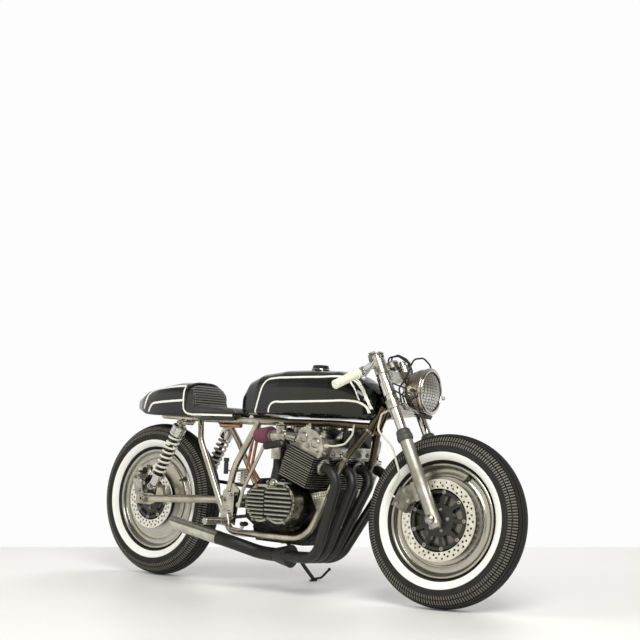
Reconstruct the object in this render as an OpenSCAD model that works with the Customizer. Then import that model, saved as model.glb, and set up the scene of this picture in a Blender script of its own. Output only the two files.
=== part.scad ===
// Cafe racer motorcycle: air-cooled four in a tube cradle, whitewall balloon tyres on dished
// disc wheels, parked on its side stand with the bars turned a little to the left.
// X points forward, Y to the left and Z up. Sizes are in millimetres.

/* [Stance] */
// distance between the two wheel axles
wheelbase = 1507; // [1440:1:1560]
// outer radius of both tyres
tyre_r = 328; // [320:1:332]
// lean onto the side stand, in degrees
lean = 4.5; // [3:0.5:6]
// turn of the bars to the left at rest, in degrees
steer = 8; // [0:1:12]
// angle of the steering axis from the upright, in degrees
rake = 26.5; // [25:0.5:28]
// distance of the fork legs ahead of the steering axis
fork_offset = 50; // [46:1:56]
// clearance between the front tyre and each fork leg
leg_gap = 14; // [12:0.5:20]

/* [Wheels] */
// radius of the tyre's round section
tyre_half = 61; // [56:1:62]
// thickness of the tyre's wall
tyre_wall = 9; // [6:0.5:12]
// outer radius of the rim flange
rim_r = 216; // [205:1:220]
// thickness of the spun wheel discs
disc_t = 5; // [3:0.5:8]
// outer radius of the front brake rotor
front_rotor_r = 160; // [140:1:162]
// outer radius of the rear brake rotor
rear_rotor_r = 133; // [120:1:138]
// thickness of the brake rotors
rotor_t = 5; // [4:0.5:6]
// radius of the rear sprocket over its teeth
sprocket_r = 92; // [80:1:96]
// diameter of both wheel axles
axle_d = 20; // [16:1:24]

/* [Fork] */
// diameter of the fork tubes
stanchion_d = 37; // [33:1:40]
// diameter of the lower fork legs
leg_d = 50; // [46:1:54]
// height of the lower legs above the axle, along the fork
leg_top = 320; // [300:1:340]
// height of the lower clamp, along the fork
lower_clamp_s = 456; // [446:1:462]
// height of the upper clamp, along the fork
upper_clamp_s = 602; // [598:1:606]
// diameter of the steering stem
stem_d = 34; // [28:1:38]
// outer diameter of the headlight bezel
lamp_d = 178; // [160:1:184]
// drop of each handlebar end below its clamp, along the fork
bar_drop = 61; // [40:1:75]

/* [Frame] */
// diameter of the cradle tubes
tube_d = 28; // [24:1:30]
// diameter of the seat rails
rail_d = 26; // [22:1:27]
// distance of the cradle tubes from the middle plane
cradle_y = 136; // [135:1:142]
// height of the lower cradle tubes
cradle_z = 221; // [219:1:226]
// diameter of the swingarm's arms
arm_d = 34; // [30:1:35]
// distance of the arms from the middle plane
arm_y = 102; // [101:1:104]
// distance of the shock absorbers from the middle plane
shock_y = 152; // [148:1:160]

/* [Engine] */
// forward tilt of the cylinders, in degrees
tilt = 20; // [15:1:22]
// depth of the cylinder fins, front to back
fin_depth = 158; // [145:1:164]
// width of the cylinder fins, side to side
fin_width = 436; // [410:2:450]
// thickness of one fin
fin_t = 3.6; // [2.5:0.1:4.5]
// distance between fins
fin_pitch = 9.4; // [8:0.1:10.5]
// distance between neighbouring cylinders
bore_pitch = 110; // [104:1:112]
// diameter of the header pipes
header_d = 40; // [34:1:42]
// diameter of the tail pipe
tail_d = 54; // [48:1:58]
// number of ribs on each lobe of the clutch cover
cover_ribs = 8; // [5:1:9]

/* [Bodywork] */
// half the width of the tank at its widest
tank_half = 130; // [118:1:136]
// height of the tank's crown
tank_top = 893; // [870:1:905]
// half the width of the tail cowl
tail_half = 115; // [112:1:122]
// thickness of the tail cowl's wall
cowl_t = 4; // [3:0.5:5]
// diameter of the filler cap
cap_d = 62; // [50:1:70]

/* [Side stand] */
// distance of the foot from the middle plane
foot_y = 265; // [255:1:285]
// distance of the foot ahead of the rear axle
foot_x = 662; // [640:1:680]
// diameter of the leg
stand_d = 16; // [12:1:20]

/* [Hidden] */
$fn = 48;
// running fit around pins and axles, on the radius
fit = 0.3;
// height of the axles in the drawing, from which all other heights are measured
axle_z = 328;
// rise of the whole machine on taller tyres
rise = tyre_r - axle_z;
// distance of each fork leg from the middle plane
fork_half = tyre_half + leg_gap + leg_d / 2;
// flank of the front hub, which carries the rotor
front_hub_y = tyre_half;
// lift that keeps the round tyre on the ground when it leans
lift = tyre_half * (1 - cos(lean));
// middle of the parked outline, from the rear axle's foot
origin_x = 752.2;
origin_y = 73.3;
// crankcase joint face in the side plane, at the middle of the cylinders
base_x = 921;
base_z = 442;
cylinders = [-1.5, -0.5, 0.5, 1.5];
pivot = [520, 352];
stand_pivot = [590, 148, 190];
stand_axis = [-0.26, 0.955, 0.143];
chain_y = 74;
front_sprocket = [650, 350];
lower_clamp_t = 34;
tip_from = [525, -186, 197];
tip_to = [264, -196, 243];
tip_dir = (tip_to - tip_from) / norm(tip_to - tip_from);
upper_clamp_t = 26;

function unit(v) = v / norm(v);
function angle_between(a, b) = acos(max(-1, min(1, unit(a) * unit(b))));
function flip(p, s) = [p[0], s * p[1], p[2]];
function barrel_xz(f, h) = [base_x + f * cos(tilt) + h * sin(tilt), base_z - f * sin(tilt) + h * cos(tilt)];
function barrel_xyz(f, y, h) = [barrel_xz(f, h)[0], y, barrel_xz(f, h)[1]];
// point of the unsteered fork, given ahead, aside and along the legs
function fork_xyz(a, y, s) = [wheelbase + a * cos(rake) - s * sin(rake), y, axle_z + a * sin(rake) + s * cos(rake)];
// rounded rectangle with n points on each corner
function rounded(w, h, r, n = 4) = [for (q = [0:3], i = [0:n])
  let (a = 90 * q + 90 * i / n)
  [(q == 0 || q == 3 ? 1 : -1) * (w / 2 - r) + r * cos(a), (q < 2 ? 1 : -1) * (h / 2 - r) + r * sin(a)]];
// underside of the tank's tunnel in the side plane
function tunnel_roof(x) = 755 + (x - 480) * 51 / 770;
function power(v, e) = (v < 0 ? -1 : 1) * pow(abs(v), e);
// oval ring with squarer corners for larger powers, low and high half apart
function oval(w, low, high, p_low, p_high, mid, seg) = [for (i = [0:seg - 1])
  let (a = 360 * i / seg, p = sin(a) < 0 ? p_low : p_high, m = low + (high - low) * mid)
  [w * power(cos(a), 2 / p), m + (sin(a) < 0 ? m - low : high - m) * power(sin(a), 2 / p)]];

module both() {
  children();
  mirror([0, 1, 0]) children();
}

module parked() {
  translate([-origin_x, -origin_y, lift]) rotate([-lean, 0, 0]) translate([0, 0, rise]) children();
}

// frame with Z up along the fork legs from the front axle, turned about the steering axis
module fork_frame(turn) {
  translate([wheelbase, 0, axle_z]) rotate([0, -rake, 0]) translate([-fork_offset, 0, 0])
    rotate([0, 0, turn]) translate([fork_offset, 0, 0]) children();
}

module steered() {
  parked() fork_frame(steer) children();
}

// frame with Z up along the cylinders from the crankcase joint face
module barrel() {
  translate([base_x, 0, base_z]) rotate([0, tilt, 0]) children();
}

module aim(at, dir, side) {
  z = unit(dir);
  y = unit(cross(z, side));
  x = cross(y, z);
  multmatrix([[x[0], y[0], z[0], at[0]], [x[1], y[1], z[1], at[1]], [x[2], y[2], z[2], at[2]], [0, 0, 0, 1]])
    children();
}

function side_of(dir) = abs(unit(dir)[1]) < 0.9 ? [0, 1, 0] : [1, 0, 0];

module bar(p, q, d, d2 = 0) {
  aim(p, q - p, side_of(q - p)) cylinder(h = norm(q - p), d1 = d, d2 = d2 == 0 ? d : d2);
}

// bent tube through points, with a bend radius at each inner point
module tube_path(pts, bends, d) {
  n = len(pts);
  cut = [for (i = [0:n - 1]) i == 0 || i == n - 1 ? 0
    : bends[i - 1] * tan(angle_between(pts[i] - pts[i - 1], pts[i + 1] - pts[i]) / 2)];
  for (i = [0:n - 2]) {
    dir = unit(pts[i + 1] - pts[i]);
    lap0 = i == 0 ? 0 : 0.4;
    lap1 = i == n - 2 ? 0 : 0.4;
    a = pts[i] + dir * (cut[i] - lap0);
    b = pts[i + 1] - dir * (cut[i + 1] - lap1);
    bar(a, b, d);
  }
  for (i = [1:n - 2]) {
    din = unit(pts[i] - pts[i - 1]);
    dout = unit(pts[i + 1] - pts[i]);
    ang = angle_between(din, dout);
    if (ang > 0.01) {
      inward = unit(dout - din * (dout * din));
      centre = pts[i] - din * cut[i] + inward * bends[i - 1];
      aim(centre, -unit(cross(inward, din)), -inward) rotate_extrude(angle = ang)
        translate([bends[i - 1], 0]) circle(d = d - 0.2);
    }
  }
}

// outline in the side plane, drawn out between two distances aside
module side_prism(pts, y0, y1) {
  translate([0, y1, 0]) rotate([90, 0, 0]) linear_extrude(y1 - y0) polygon(pts);
}

// ring turned about a cross axle, drawn as radius and distance to the right
module turned(at) {
  translate(at) rotate([90, 0, 0]) rotate_extrude() children();
}

// cross-wise cylinder between two distances aside
module pin(x, z, y0, y1, d) {
  translate([x, y1, z]) rotate([90, 0, 0]) cylinder(h = y1 - y0, d = d);
}

// skin through oval stations, each given as x, half width, low and high
module loft(st, p_low, p_high, mid, seg) {
  n = len(st);
  pts = [for (s = st) each [for (q = oval(s[1], s[2], s[3], p_low, p_high, mid, seg)) [s[0], q[0], q[1]]]];
  faces = [
    [for (j = [0:seg - 1]) j],
    for (i = [0:n - 2], j = [0:seg - 1]) [i * seg + j, (i + 1) * seg + j, (i + 1) * seg + (j + 1) % seg],
    for (i = [0:n - 2], j = [0:seg - 1]) [i * seg + j, (i + 1) * seg + (j + 1) % seg, i * seg + (j + 1) % seg],
    [for (j = [0:seg - 1]) n * seg - 1 - j]];
  polyhedron(pts, faces);
}

module seat_rail() {
  tube_path([[55, -70, 690], [330, -86, 680], [520, -90, 679], [650, -110, 678], [1040, -92, 678], [1150, -34, 672]],
    [400, 300, 300, 120], rail_d);
}

module cradle_tube() {
  tube_path([[1202, -16, 752], [1150, -28, 662], [1078, -92, 533], [945, -cradle_y, cradle_z], [522, -cradle_y, cradle_z],
    [512, -cradle_y, 345], [548, -cradle_y, 490], [650, -112, 678]], [260, 260, 100, 60, 260, 300], tube_d);
}

module pivot_plate() {
  side_prism([[492, 292], [560, 250], [582, 392], [540, 425], [494, 385]], -cradle_y - 5, -cradle_y + 5);
}

// Frame: head tube, backbone, seat rails, double cradle, pivot plates and lugs
module frame() {
  head_low = lower_clamp_s + lower_clamp_t + 6;
  head_high = upper_clamp_s - 6;
  color("silver") parked() {
    difference() {
      union() {
        bar(fork_xyz(-fork_offset, 0, head_low), fork_xyz(-fork_offset, 0, head_high), 56);
        bar(fork_xyz(-fork_offset, 0, head_low + 26), [600, 0, 716], 40);
        both() {
          cradle_tube();
          seat_rail();
          pivot_plate();
          side_prism([[1196, 748], [1146, 660], [1160, 640], [1212, 742]], -24, -18);
          bar([248, -80, 674], [248, -92, 662], 20);
          bar([248, -90, 661], [248, -shock_y + 16, 661], 20);
          pin(248, 661, -shock_y - 16, -shock_y + 16, 14);
        }
        pin(600, 690, -109, 109, 24);
        pin(600, cradle_z, -cradle_y, cradle_y, 22);
        pin(80, 690, -72, 72, 20);
        pin(1150, 652, -36, 36, 20);
        pin(1070, 672, -80, 80, 16);
        both() for (x = [690, 850]) {
          translate([x, -cradle_y, cradle_z - 8]) cube([34, cradle_y - 88, 16]);
        }
        translate([1062, -15, 652]) cube([16, 30, 20]);
        pin(1000, 366, -138, -104, 16);
        pin(pivot[0], pivot[1], -cradle_y - 12, cradle_y + 12, 18);
        for (x = [640, 900]) {
          side_prism([[x, 725], [x, tunnel_roof(x)], [x + 40, tunnel_roof(x + 40)], [x + 40, 725]], -16, 16);
        }
        both() for (x = [345, 465]) {
          translate([x, -96, 678]) cube([24, 16, 22]);
        }
        aim(stand_pivot, stand_axis, [1, 0, 0]) {
          translate([0, 0, -18]) cylinder(h = 17.6, d = 30);
          translate([0, 0, -18]) cylinder(h = 36, d = 12);
          translate([0, 0, 16]) cylinder(h = 6, d = 22);
        }
        bar([590, cradle_y - 2, cradle_z], [592, 131, 190], 20);
      }
      bar(fork_xyz(-fork_offset, 0, head_low - 10), fork_xyz(-fork_offset, 0, head_high + 10), stem_d + 2 * fit);
    }
  }
}

// Rear struts from the seat rails down to the pivot plates
module rear_struts() {
  color("silver") parked() both() difference() {
    tube_path([[290, -83.7, 681.4], [330, -118, 590], [500, -cradle_y, 292]], [120], rail_d - 1);
    seat_rail();
    cradle_tube();
    pivot_plate();
  }
}

// Swingarm: pivot tube, two arms, a bridge ahead of the tyre and axle lugs
module swingarm() {
  color("silver") parked() difference() {
    union() {
      pin(pivot[0], pivot[1], -118, 118, 46);
      both() {
        bar([pivot[0], -arm_y, pivot[1]], [34, -arm_y, 330], arm_d);
        side_prism([[-46, 306], [-46, 350], [40, 352], [70, 345], [70, 315], [40, 304]], -arm_y - 9, -arm_y + 9);
        side_prism([[70, 336], [78, 392], [106, 392], [118, 340]], -arm_y - 8, -arm_y + 8);
        pin(92, 386, -shock_y - 16, -arm_y, 14);
      }
      pin(424, 347, -arm_y, arm_y, 36);
    }
    pin(pivot[0], pivot[1], -130, 130, 18);
    pin(0, axle_z, -130, 130, axle_d);
  }
}

// Rear axle with spacers and end nuts
module rear_axle() {
  color("silver") parked() difference() {
    union() {
      pin(0, axle_z, -arm_y - 28, arm_y + 28, axle_d);
      pin(0, axle_z, -arm_y + 9, -75, 34);
      pin(0, axle_z, 83, arm_y - 9, 34);
      both() pin(0, axle_z, -arm_y - 23, -arm_y - 9, 36);
    }
    pin(0, axle_z, -arm_y - 40, arm_y + 40, 12);
  }
}

// Crankcases, gearbox and sump
module engine_cases() {
  front = barrel_xz(68, 0);
  back = barrel_xz(-76, 0);
  color("dimgray") parked() {
    side_prism([[735, 262], [735, 425], [760, 452], back, front, [968, 330], [905, 262], [870, 246], [760, 246]],
      -130, 130);
    side_prism([[735, 270], [735, 425], [770, 446], [880, 444], [950, 400], [950, 320], [900, 266], [780, 260]], -165, 165);
    side_prism([[600, 285], [600, 400], [650, 446], [770, 456], [770, 246], [640, 246]], -92, 58);
    side_prism([[646, 290], [646, 380], [680, 425], [770, 440], [770, 280], [690, 262]], -165, 0);
    side_prism([[620, 250], [640, 196], [890, 190], [930, 226], [930, 300], [640, 300]], -88, 88);
  }
}

module fin_stack(from, count) {
  for (i = [0:count - 1]) {
    translate([0, 0, from + i * fin_pitch]) linear_extrude(fin_t) polygon(rounded(fin_depth, fin_width, 14));
  }
}

// Cylinder block with its cooling fins
module cylinder_block() {
  color("#2b2b2b") parked() barrel() {
    translate([-56, -198, 0]) cube([112, 396, 75]);
    fin_stack(5, 8);
  }
}

// Finned lower half of the cylinder head, with the exhaust ports
module cylinder_head() {
  color("#2b2b2b") parked() barrel() {
    translate([-60, -198, 75]) cube([120, 396, 53]);
    fin_stack(77, 6);
    for (c = cylinders) {
      translate([0, c * bore_pitch, 100]) rotate([0, 90, 0]) cylinder(h = 84, d = header_d + 8);
    }
  }
}

// Upper head and cam cover with its end caps
module upper_head() {
  color("silver") parked() barrel() {
    intersection() {
      side_prism([[-66, 128], [-74, 136], [-74, 178], [-54, 208], [-22, 220], [28, 220], [58, 204], [72, 172],
        [74, 138], [66, 128]], -192, 192);
      translate([0, 0, 128]) linear_extrude(100) polygon(rounded(160, 384, 30));
    }
    for (s = [-1, 1]) {
      translate([0, s * 150, 218]) rotate([90, 0, 0]) cylinder(h = 26, d = 26, center = true);
    }
    for (c = cylinders, f = [-38, 40]) {
      translate([f, c * bore_pitch, 190]) cylinder(h = 34, d = 30);
    }
  }
}

// Two-lobed clutch cover with cross ribs
module clutch_cover() {
  lobes = [[775, 352, 74], [868, 357, 82]];
  color("silver") parked() {
    difference() {
      union() {
        for (l = lobes) {
          pin(l[0], l[1], -224, -165, 2 * l[2]);
        }
        pin(838, 432, -220, -165, 34);
      }
      pin(680, 338, -300, -100, 32);
    }
    for (l = lobes, i = [0:cover_ribs - 1]) {
      intersection() {
        pin(l[0], l[1], -238, -224, 2 * l[2] - 14);
        translate([l[0] - (l[2] == 74 ? 100 : 60), -238, l[1] - l[2] + 14 + i * (2 * l[2] - 28) / cover_ribs])
          cube([l[2] == 74 ? 128 : 200, 14, 10]);
      }
    }
  }
}

// Round cover over the generator at the left end of the crank
module alternator_cover() {
  color("silver") parked() {
    pin(862, 357, 165, 212, 176);
    pin(862, 357, 212, 226, 140);
    pin(862, 357, 226, 232, 60);
  }
}

// Plate over the front sprocket, with the sprocket behind it
module sprocket_cover() {
  color("silver") parked() {
    side_prism([[735, 284], [735, 424], [690, 420], [612, 396], [596, 350], [612, 304], [690, 280]], 92, 104);
    pin(front_sprocket[0], front_sprocket[1], 58, 92, 64);
  }
}

// Four carburettors with their rubber stubs, domes and float bowls
module carburettors() {
  color("gainsboro") parked() for (c = cylinders) {
    y = c * bore_pitch;
    bar(barrel_xyz(-74, y, 154), barrel_xyz(-84, y, 154), 46);
    bar(barrel_xyz(-82, y, 154), [846, y, 621], 40);
    bar([850, y, 620], [778, y, 620], 50);
    translate([815, y, 596]) cylinder(h = 62, d = 46);
    translate([815, y, 655]) cylinder(h = 12, d1 = 46, d2 = 26);
    translate([808, y, 528]) linear_extrude(76) polygon(rounded(50, 46, 8));
  }
}

// Cone filters on the carburettors
module air_filters() {
  color("#5a2a3a") parked() for (c = cylinders) {
    bar([778, c * bore_pitch, 620], [764, c * bore_pitch, 620], 54);
    bar([764, c * bore_pitch, 620], [690, c * bore_pitch, 618], 74, 56);
  }
}

// Header pipes, the collector under the engine and the tail pipe
module exhaust_headers() {
  low = 146;
  color("#1c1c1c") parked() {
    for (i = [0:3]) {
      y = cylinders[i] * bore_pitch;
      yb = -148 + 48 * i;
      tube_path([barrel_xyz(84, y, 100), barrel_xyz(172, y, 100), [1008, yb, low], [830, -134 + 17 * i, low]],
        [62, 85], header_d);
    }
    bar([850, -108, low], [770, -110, low], 92, tail_d);
    tube_path([[780, -110, low], [692, -118, 150], tip_from - 70 * tip_dir, tip_from], [110, 110], tail_d);
  }
}

// Short polished tail pipe tip, cut aslant
module exhaust_tip() {
  color("silver") parked() difference() {
    bar(tip_from, tip_to, tail_d + 2);
    bar(tip_from + 30 * tip_dir, tip_to + 40 * tip_dir, tail_d - 4);
    translate(tip_to + [14, 0, 0]) rotate([0, -32, 0]) translate([-80, -60, -80]) cube([80, 120, 160]);
  }
}

// Fuel tank with a tunnel for the backbone and a notch round the head tube
module tank() {
  stations = [[512, 66, 716, 764], [526, 86, 710, 812], [560, 103, 706, 851], [620, 115, 703, 875], [740, 126, 700, 890],
    [880, tank_half, 697, tank_top], [1000, 127, 697, 888], [1080, 117, 697, 870], [1130, 105, 697, 843],
    [1160, 92, 700, 818], [1180, 77, 706, 794], [1191, 60, 718, 768]];
  color("#101512") parked() difference() {
    union() {
      loft(stations, 7, 2.9, 0.3, 40);
      translate([865, 0, tank_top - 20]) cylinder(h = 22, d = cap_d + 12);
    }
    side_prism([[480, 680], [480, tunnel_roof(480)], [1250, tunnel_roof(1250)], [1250, 680]], -32, 32);
    side_prism([[1095, 680], [1095, 744], [1250, 790], [1250, 680]], -46, 46);
    bar(fork_xyz(-fork_offset, 0, 440), fork_xyz(-fork_offset, 0, 640), 72);
  }
}

// Filler cap on the tank's crown
module filler_cap() {
  color("#202020") parked() {
    translate([865, 0, tank_top + 2]) cylinder(h = 7, d = cap_d + 8);
    translate([865, 0, tank_top + 9]) cylinder(h = 9, d = cap_d);
  }
}

// Leather seat: thin pad with the ribbed bolster standing against the tail hump
module seat() {
  color("#141414") parked() intersection() {
    side_prism([[318, 704], [505, 704], [509, 711], [500, 718], [440, 724], [395, 733], [372, 748], [354, 790],
      [338, 820], [327, 828], [318, 828]], -tail_half, tail_half);
    translate([200, 0, 0]) rotate([90, 0, 90]) linear_extrude(400) polygon(oval(tail_half - 2, 660, 826, 8, 3.2, 0.4, 40));
  }
}

// Tail cowl: hollow hump with a tray under the seat pad
module tail_cowl() {
  stations = [[-123, 40, 722, 746], [-112, 62, 712, 768], [-47, 90, 690, 802], [50, 105, 681, 822],
    [149, 112, 678, 836], [250, tail_half, 675, 838], [318, tail_half, 673, 828]];
  inner = [[-108, 36, 640, 742], [-96, 56, 640, 762], [-40, 84, 640, 796], [50, 101, 640, 816],
    [149, 108, 640, 830], [250, tail_half - cowl_t, 640, 832], [318 - cowl_t, tail_half - cowl_t, 640, 822]];
  color("#121614") parked() {
    difference() {
      loft(stations, 8, 3.2, 0.4, 40);
      loft(inner, 8, 3.2, 0.55, 40);
      translate([290, -tail_half + cowl_t, 640]) cube([60, 2 * (tail_half - cowl_t), 60]);
    }
    difference() {
      translate([310, -tail_half, 674]) cube([194, 2 * tail_half, 30]);
      translate([280, -tail_half + cowl_t, 660]) cube([260, 2 * (tail_half - cowl_t), 40]);
    }
  }
}

// Round tail lamp on the tip of the cowl
module tail_lamp() {
  color("#7a1010") parked() translate([-123, 0, 734]) rotate([0, -90, 0]) cylinder(h = 12, d = 20);
}

// Shock absorbers: eyes, damper body, rod and spring seats
module shocks() {
  top = [248, -shock_y, 661];
  low = [92, -shock_y, 386];
  dir = unit(top - low);
  color("gainsboro") parked() both() difference() {
    union() {
      pin(top[0], top[2], -shock_y - 13, -shock_y + 13, 32);
      pin(low[0], low[2], -shock_y - 13, -shock_y + 13, 32);
      bar(low + 8 * dir, low + 190 * dir, 34);
      bar(low + 180 * dir, top - 8 * dir, 16);
      bar(low + 52 * dir, low + 62 * dir, 58);
      bar(top - 62 * dir, top - 20 * dir, 58);
    }
    pin(top[0], top[2], -200, -100, 14);
    pin(low[0], low[2], -200, -100, 14);
  }
}

// Coil springs round the dampers
module springs() {
  top = [248, -shock_y, 661];
  low = [92, -shock_y, 386];
  dir = unit(top - low);
  coils = 8;
  per = 16;
  ring = 6;
  wire = 4;
  coil_r = 24;
  length = norm(top - low) - 62 - 62 - 2 * wire;
  n = coils * per + 1;
  pts = [for (i = [0:n - 1]) let (a = 360 * i / per) for (j = [0:ring - 1]) let (b = 360 * j / ring)
    [(coil_r + wire * cos(b)) * cos(a), (coil_r + wire * cos(b)) * sin(a), wire * sin(b) + length * i / (n - 1)]];
  faces = [
    [for (j = [0:ring - 1]) j],
    for (i = [0:n - 2], j = [0:ring - 1]) [i * ring + j, (i + 1) * ring + j, (i + 1) * ring + (j + 1) % ring],
    for (i = [0:n - 2], j = [0:ring - 1]) [i * ring + j, (i + 1) * ring + (j + 1) % ring, i * ring + (j + 1) % ring],
    [for (j = [0:ring - 1]) n * ring - 1 - j]];
  color("ivory") parked() both() aim(low + (62 + wire) * dir, dir, [0, 1, 0]) polyhedron(pts, faces);
}

// Kick starter with its pedal folded forward
module kick_starter() {
  color("silver") parked() {
    pin(680, 338, -250, -165, 22);
    tube_path([[680, -244, 338], [700, -246, 400], [797, -246, 576], [890, -246, 591]], [60, 8], 14);
    bar([806, -246, 577.5], [886, -246, 590.4], 27);
  }
}

// Foot controls: hangers, pegs and pedals on both sides
module foot_controls() {
  color("silver") parked() both() {
    side_prism([[498, 250], [532, 244], [572, 282], [574, 384], [520, 384]], -cradle_y - 24, -cradle_y - 16);
    pin(515, 264, -262, -cradle_y - 24, 24);
    for (z = [288, 372]) {
      pin(557, z, -cradle_y - 16, -cradle_y - 5, 18);
    }
    tube_path([[545, -cradle_y - 30, 300], [572, -176, 240], [640, -184, 236], [668, -186, 268]], [24, 24], 12);
    pin(545, 300, -cradle_y - 36, -cradle_y - 24, 20);
    bar([668, -176, 262], [668, -212, 262], 14);
  }
}

// Pair of copper oil lines behind the engine
module copper_lines() {
  color("#b5703c") parked() for (y = [-80, -54]) {
    tube_path([[625.5, y, 423.5], [566, y, 488], [602, y, 676]], [50], 13);
  }
}

// Copper regulator bar under the seat
module copper_bar() {
  color("#c08050") parked() {
    bar([386, -60, 658], [500, -60, 658], 20);
    translate([400, -66, 664]) cube([12, 12, 36]);
    translate([470, -66, 664]) cube([12, 12, 36]);
  }
}

// Ignition coil box between the front tubes
module coil_box() {
  color("#151515") parked() translate([1056, -70, 586]) cube([30, 140, 66]);
}

// Pale ignition lead that loops from the head's front corner to the rail under the tank
module plug_lead() {
  color("ivory") parked() {
    tube_path([[1058, -172, 588.3], [1092, -168, 588], [1120, -140, 598], [1126, -104, 636], [1108, -73.6, 674]],
      [26, 30, 40], 8);
    bar([1047.4, -172, 587.7], [1062, -172, 588.4], 15);
  }
}

// Finned rectifier on the rear frame tube
module rectifier() {
  ribs = 6;
  color("gainsboro") parked() {
    translate([564, -116, 420]) cube([36, 8, 62]);
    for (i = [0:ribs - 1]) {
      translate([564, -134, 421 + 11 * i]) cube([36, 18.5, 5]);
    }
    bar([550, -112, 470], [566, -112, 470], 10);
    bar([551, -113, 470], [548, -121.9, 470], 10);
  }
}

// Rubber duct between the outer carburettor and the crankcase
module rubber_duct() {
  color("#1d1d1d") parked() {
    translate([800, -162, 446.3]) cylinder(h = 52, d1 = 52, d2 = 34);
    translate([800, -162, 498]) cylinder(h = 29.8, d = 34);
  }
}

// Perforated plate ahead of the engine
module mesh_plate() {
  color("silver") parked() difference() {
    side_prism([[960, 400], [1050, 416], [1014, 330], [1000, 330]], -141, -138);
    for (i = [0:5], j = [0:5]) {
      if (i + j < 7) {
        pin(978 + 12 * i - 3 * j + 6 * (j % 2), 396 - 11 * j + 2 * i, -150, -130, 6);
      }
    }
  }
}

// Drive chain as a loop of waisted links
module drive_chain() {
  a = front_sprocket;
  ra = 34;
  rb = sprocket_r + 8;
  d = norm([a[0], a[1] - axle_z]);
  lean_up = atan2(a[1] - axle_z, a[0]);
  off = asin((rb - ra) / d);
  function arc(cx, cz, r, a0, a1, n) = [for (i = [0:n]) let (t = a0 + (a1 - a0) * i / n) [cx + r * cos(t), cz + r * sin(t)]];
  function loop(g) = concat(arc(a[0], a[1], ra + g, lean_up - 90 + off, lean_up + 90 - off, 12),
    arc(0, axle_z, rb + g, lean_up + 90 - off, lean_up + 270 + off, 36));
  color("#4a4a48") parked() {
    difference() {
      side_prism(loop(14), chain_y - 7, chain_y + 7);
      side_prism(loop(0), chain_y - 20, chain_y + 20);
      side_prism(loop(10.5), chain_y - 3, chain_y + 3);
    }
  }
}

// Rear caliper on its hanger
module rear_caliper() {
  color("silver") parked() difference() {
    union() {
      side_prism([[-70, 404], [-62, 462], [-14, 474], [2, 430], [-24, 400]], -94, -42);
      side_prism([[-40, 344], [-46, 350], [-66, 410], [-20, 410], [0, 352]], -arm_y - 17, -arm_y - 9);
      side_prism([[-66, 404], [-62, 440], [-24, 440], [-22, 404]], -arm_y - 17, -90);
    }
    pin(0, axle_z, -73.5, -58, 2 * rear_rotor_r + 12);
    pin(0, axle_z, -60, -30, 2 * rear_rotor_r - 70);
  }
}

module clamp_outline(t, boss) {
  linear_extrude(t) polygon([[-fork_offset - 8, -24], [-fork_offset - 8, 24], [-18, fork_half + 16],
    [20, fork_half + 20], [24, fork_half - 22], [4, 40], [4, -40], [24, -fork_half + 22], [20, -fork_half - 20],
    [-18, -fork_half - 16]]);
  both() translate([0, fork_half, 0]) cylinder(h = t, d = boss);
  translate([-fork_offset, 0, 0]) cylinder(h = t, d = 52);
}

// Fork clamps with the hollow steering stem and its nut
module fork_clamps() {
  color("gainsboro") steered() difference() {
    union() {
      translate([0, 0, lower_clamp_s]) clamp_outline(lower_clamp_t, 56);
      translate([0, 0, upper_clamp_s]) clamp_outline(upper_clamp_t, 54);
      translate([-fork_offset, 0, lower_clamp_s]) cylinder(h = upper_clamp_s - lower_clamp_s + 44, d = stem_d);
      translate([-fork_offset, 0, upper_clamp_s + upper_clamp_t]) cylinder(h = 14, d = 44);
    }
    both() translate([0, fork_half, lower_clamp_s - 10]) cylinder(h = 220, d = stanchion_d);
    translate([-fork_offset, 0, lower_clamp_s - 10]) cylinder(h = 90, d = 18);
  }
}

// Fork tubes
module fork_tubes() {
  color("gainsboro") steered() both() translate([0, fork_half, leg_top]) {
    cylinder(h = 345, d = stanchion_d);
    translate([0, 0, 345]) cylinder(h = 8, d = stanchion_d - 6);
  }
}

// Lower fork legs with axle lugs and the caliper boss
module fork_legs() {
  color("silver") steered() difference() {
    union() {
      both() {
        translate([0, fork_half, -18]) cylinder(h = leg_top + 18, d = leg_d);
        translate([0, fork_half, -34]) cylinder(h = 16, d1 = leg_d - 14, d2 = leg_d);
      }
      translate([-46, -fork_half + 6, 92]) cube([40, 18, 76]);
    }
    translate([0, -fork_half - 40, 0]) rotate([-90, 0, 0]) cylinder(h = 2 * fork_half + 80, d = axle_d);
  }
}

// Dust seals on top of the lower legs
module fork_seals() {
  color("#1a1a1a") steered() both() translate([0, fork_half, leg_top]) difference() {
    union() {
      cylinder(h = 14, d = leg_d + 4);
      translate([0, 0, 14]) cylinder(h = 23, d1 = leg_d - 2, d2 = stanchion_d + 5);
    }
    translate([0, 0, -1]) cylinder(h = 60, d = stanchion_d);
  }
}

// Front axle with its spacers and end nuts
module front_axle() {
  color("silver") steered() difference() {
    union() {
      pin(0, 0, -fork_half - 38, fork_half + 38, axle_d);
      both() {
        pin(0, 0, -fork_half + leg_d / 2 + 0.2, -front_hub_y - rotor_t - 6, 32);
        pin(0, 0, -fork_half - leg_d / 2 - 12, -fork_half - leg_d / 2 + 0.6, 34);
      }
    }
    pin(0, 0, -fork_half - 50, fork_half + 50, 10);
    both() translate([0, fork_half, -60]) intersection() {
      cylinder(h = 120, d = leg_d);
      difference() {
        translate([-60, -60, 0]) cube([120, 120, 120]);
        translate([0, 60, 60]) rotate([90, 0, 0]) cylinder(h = 120, d = axle_d);
      }
    }
  }
}

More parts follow.
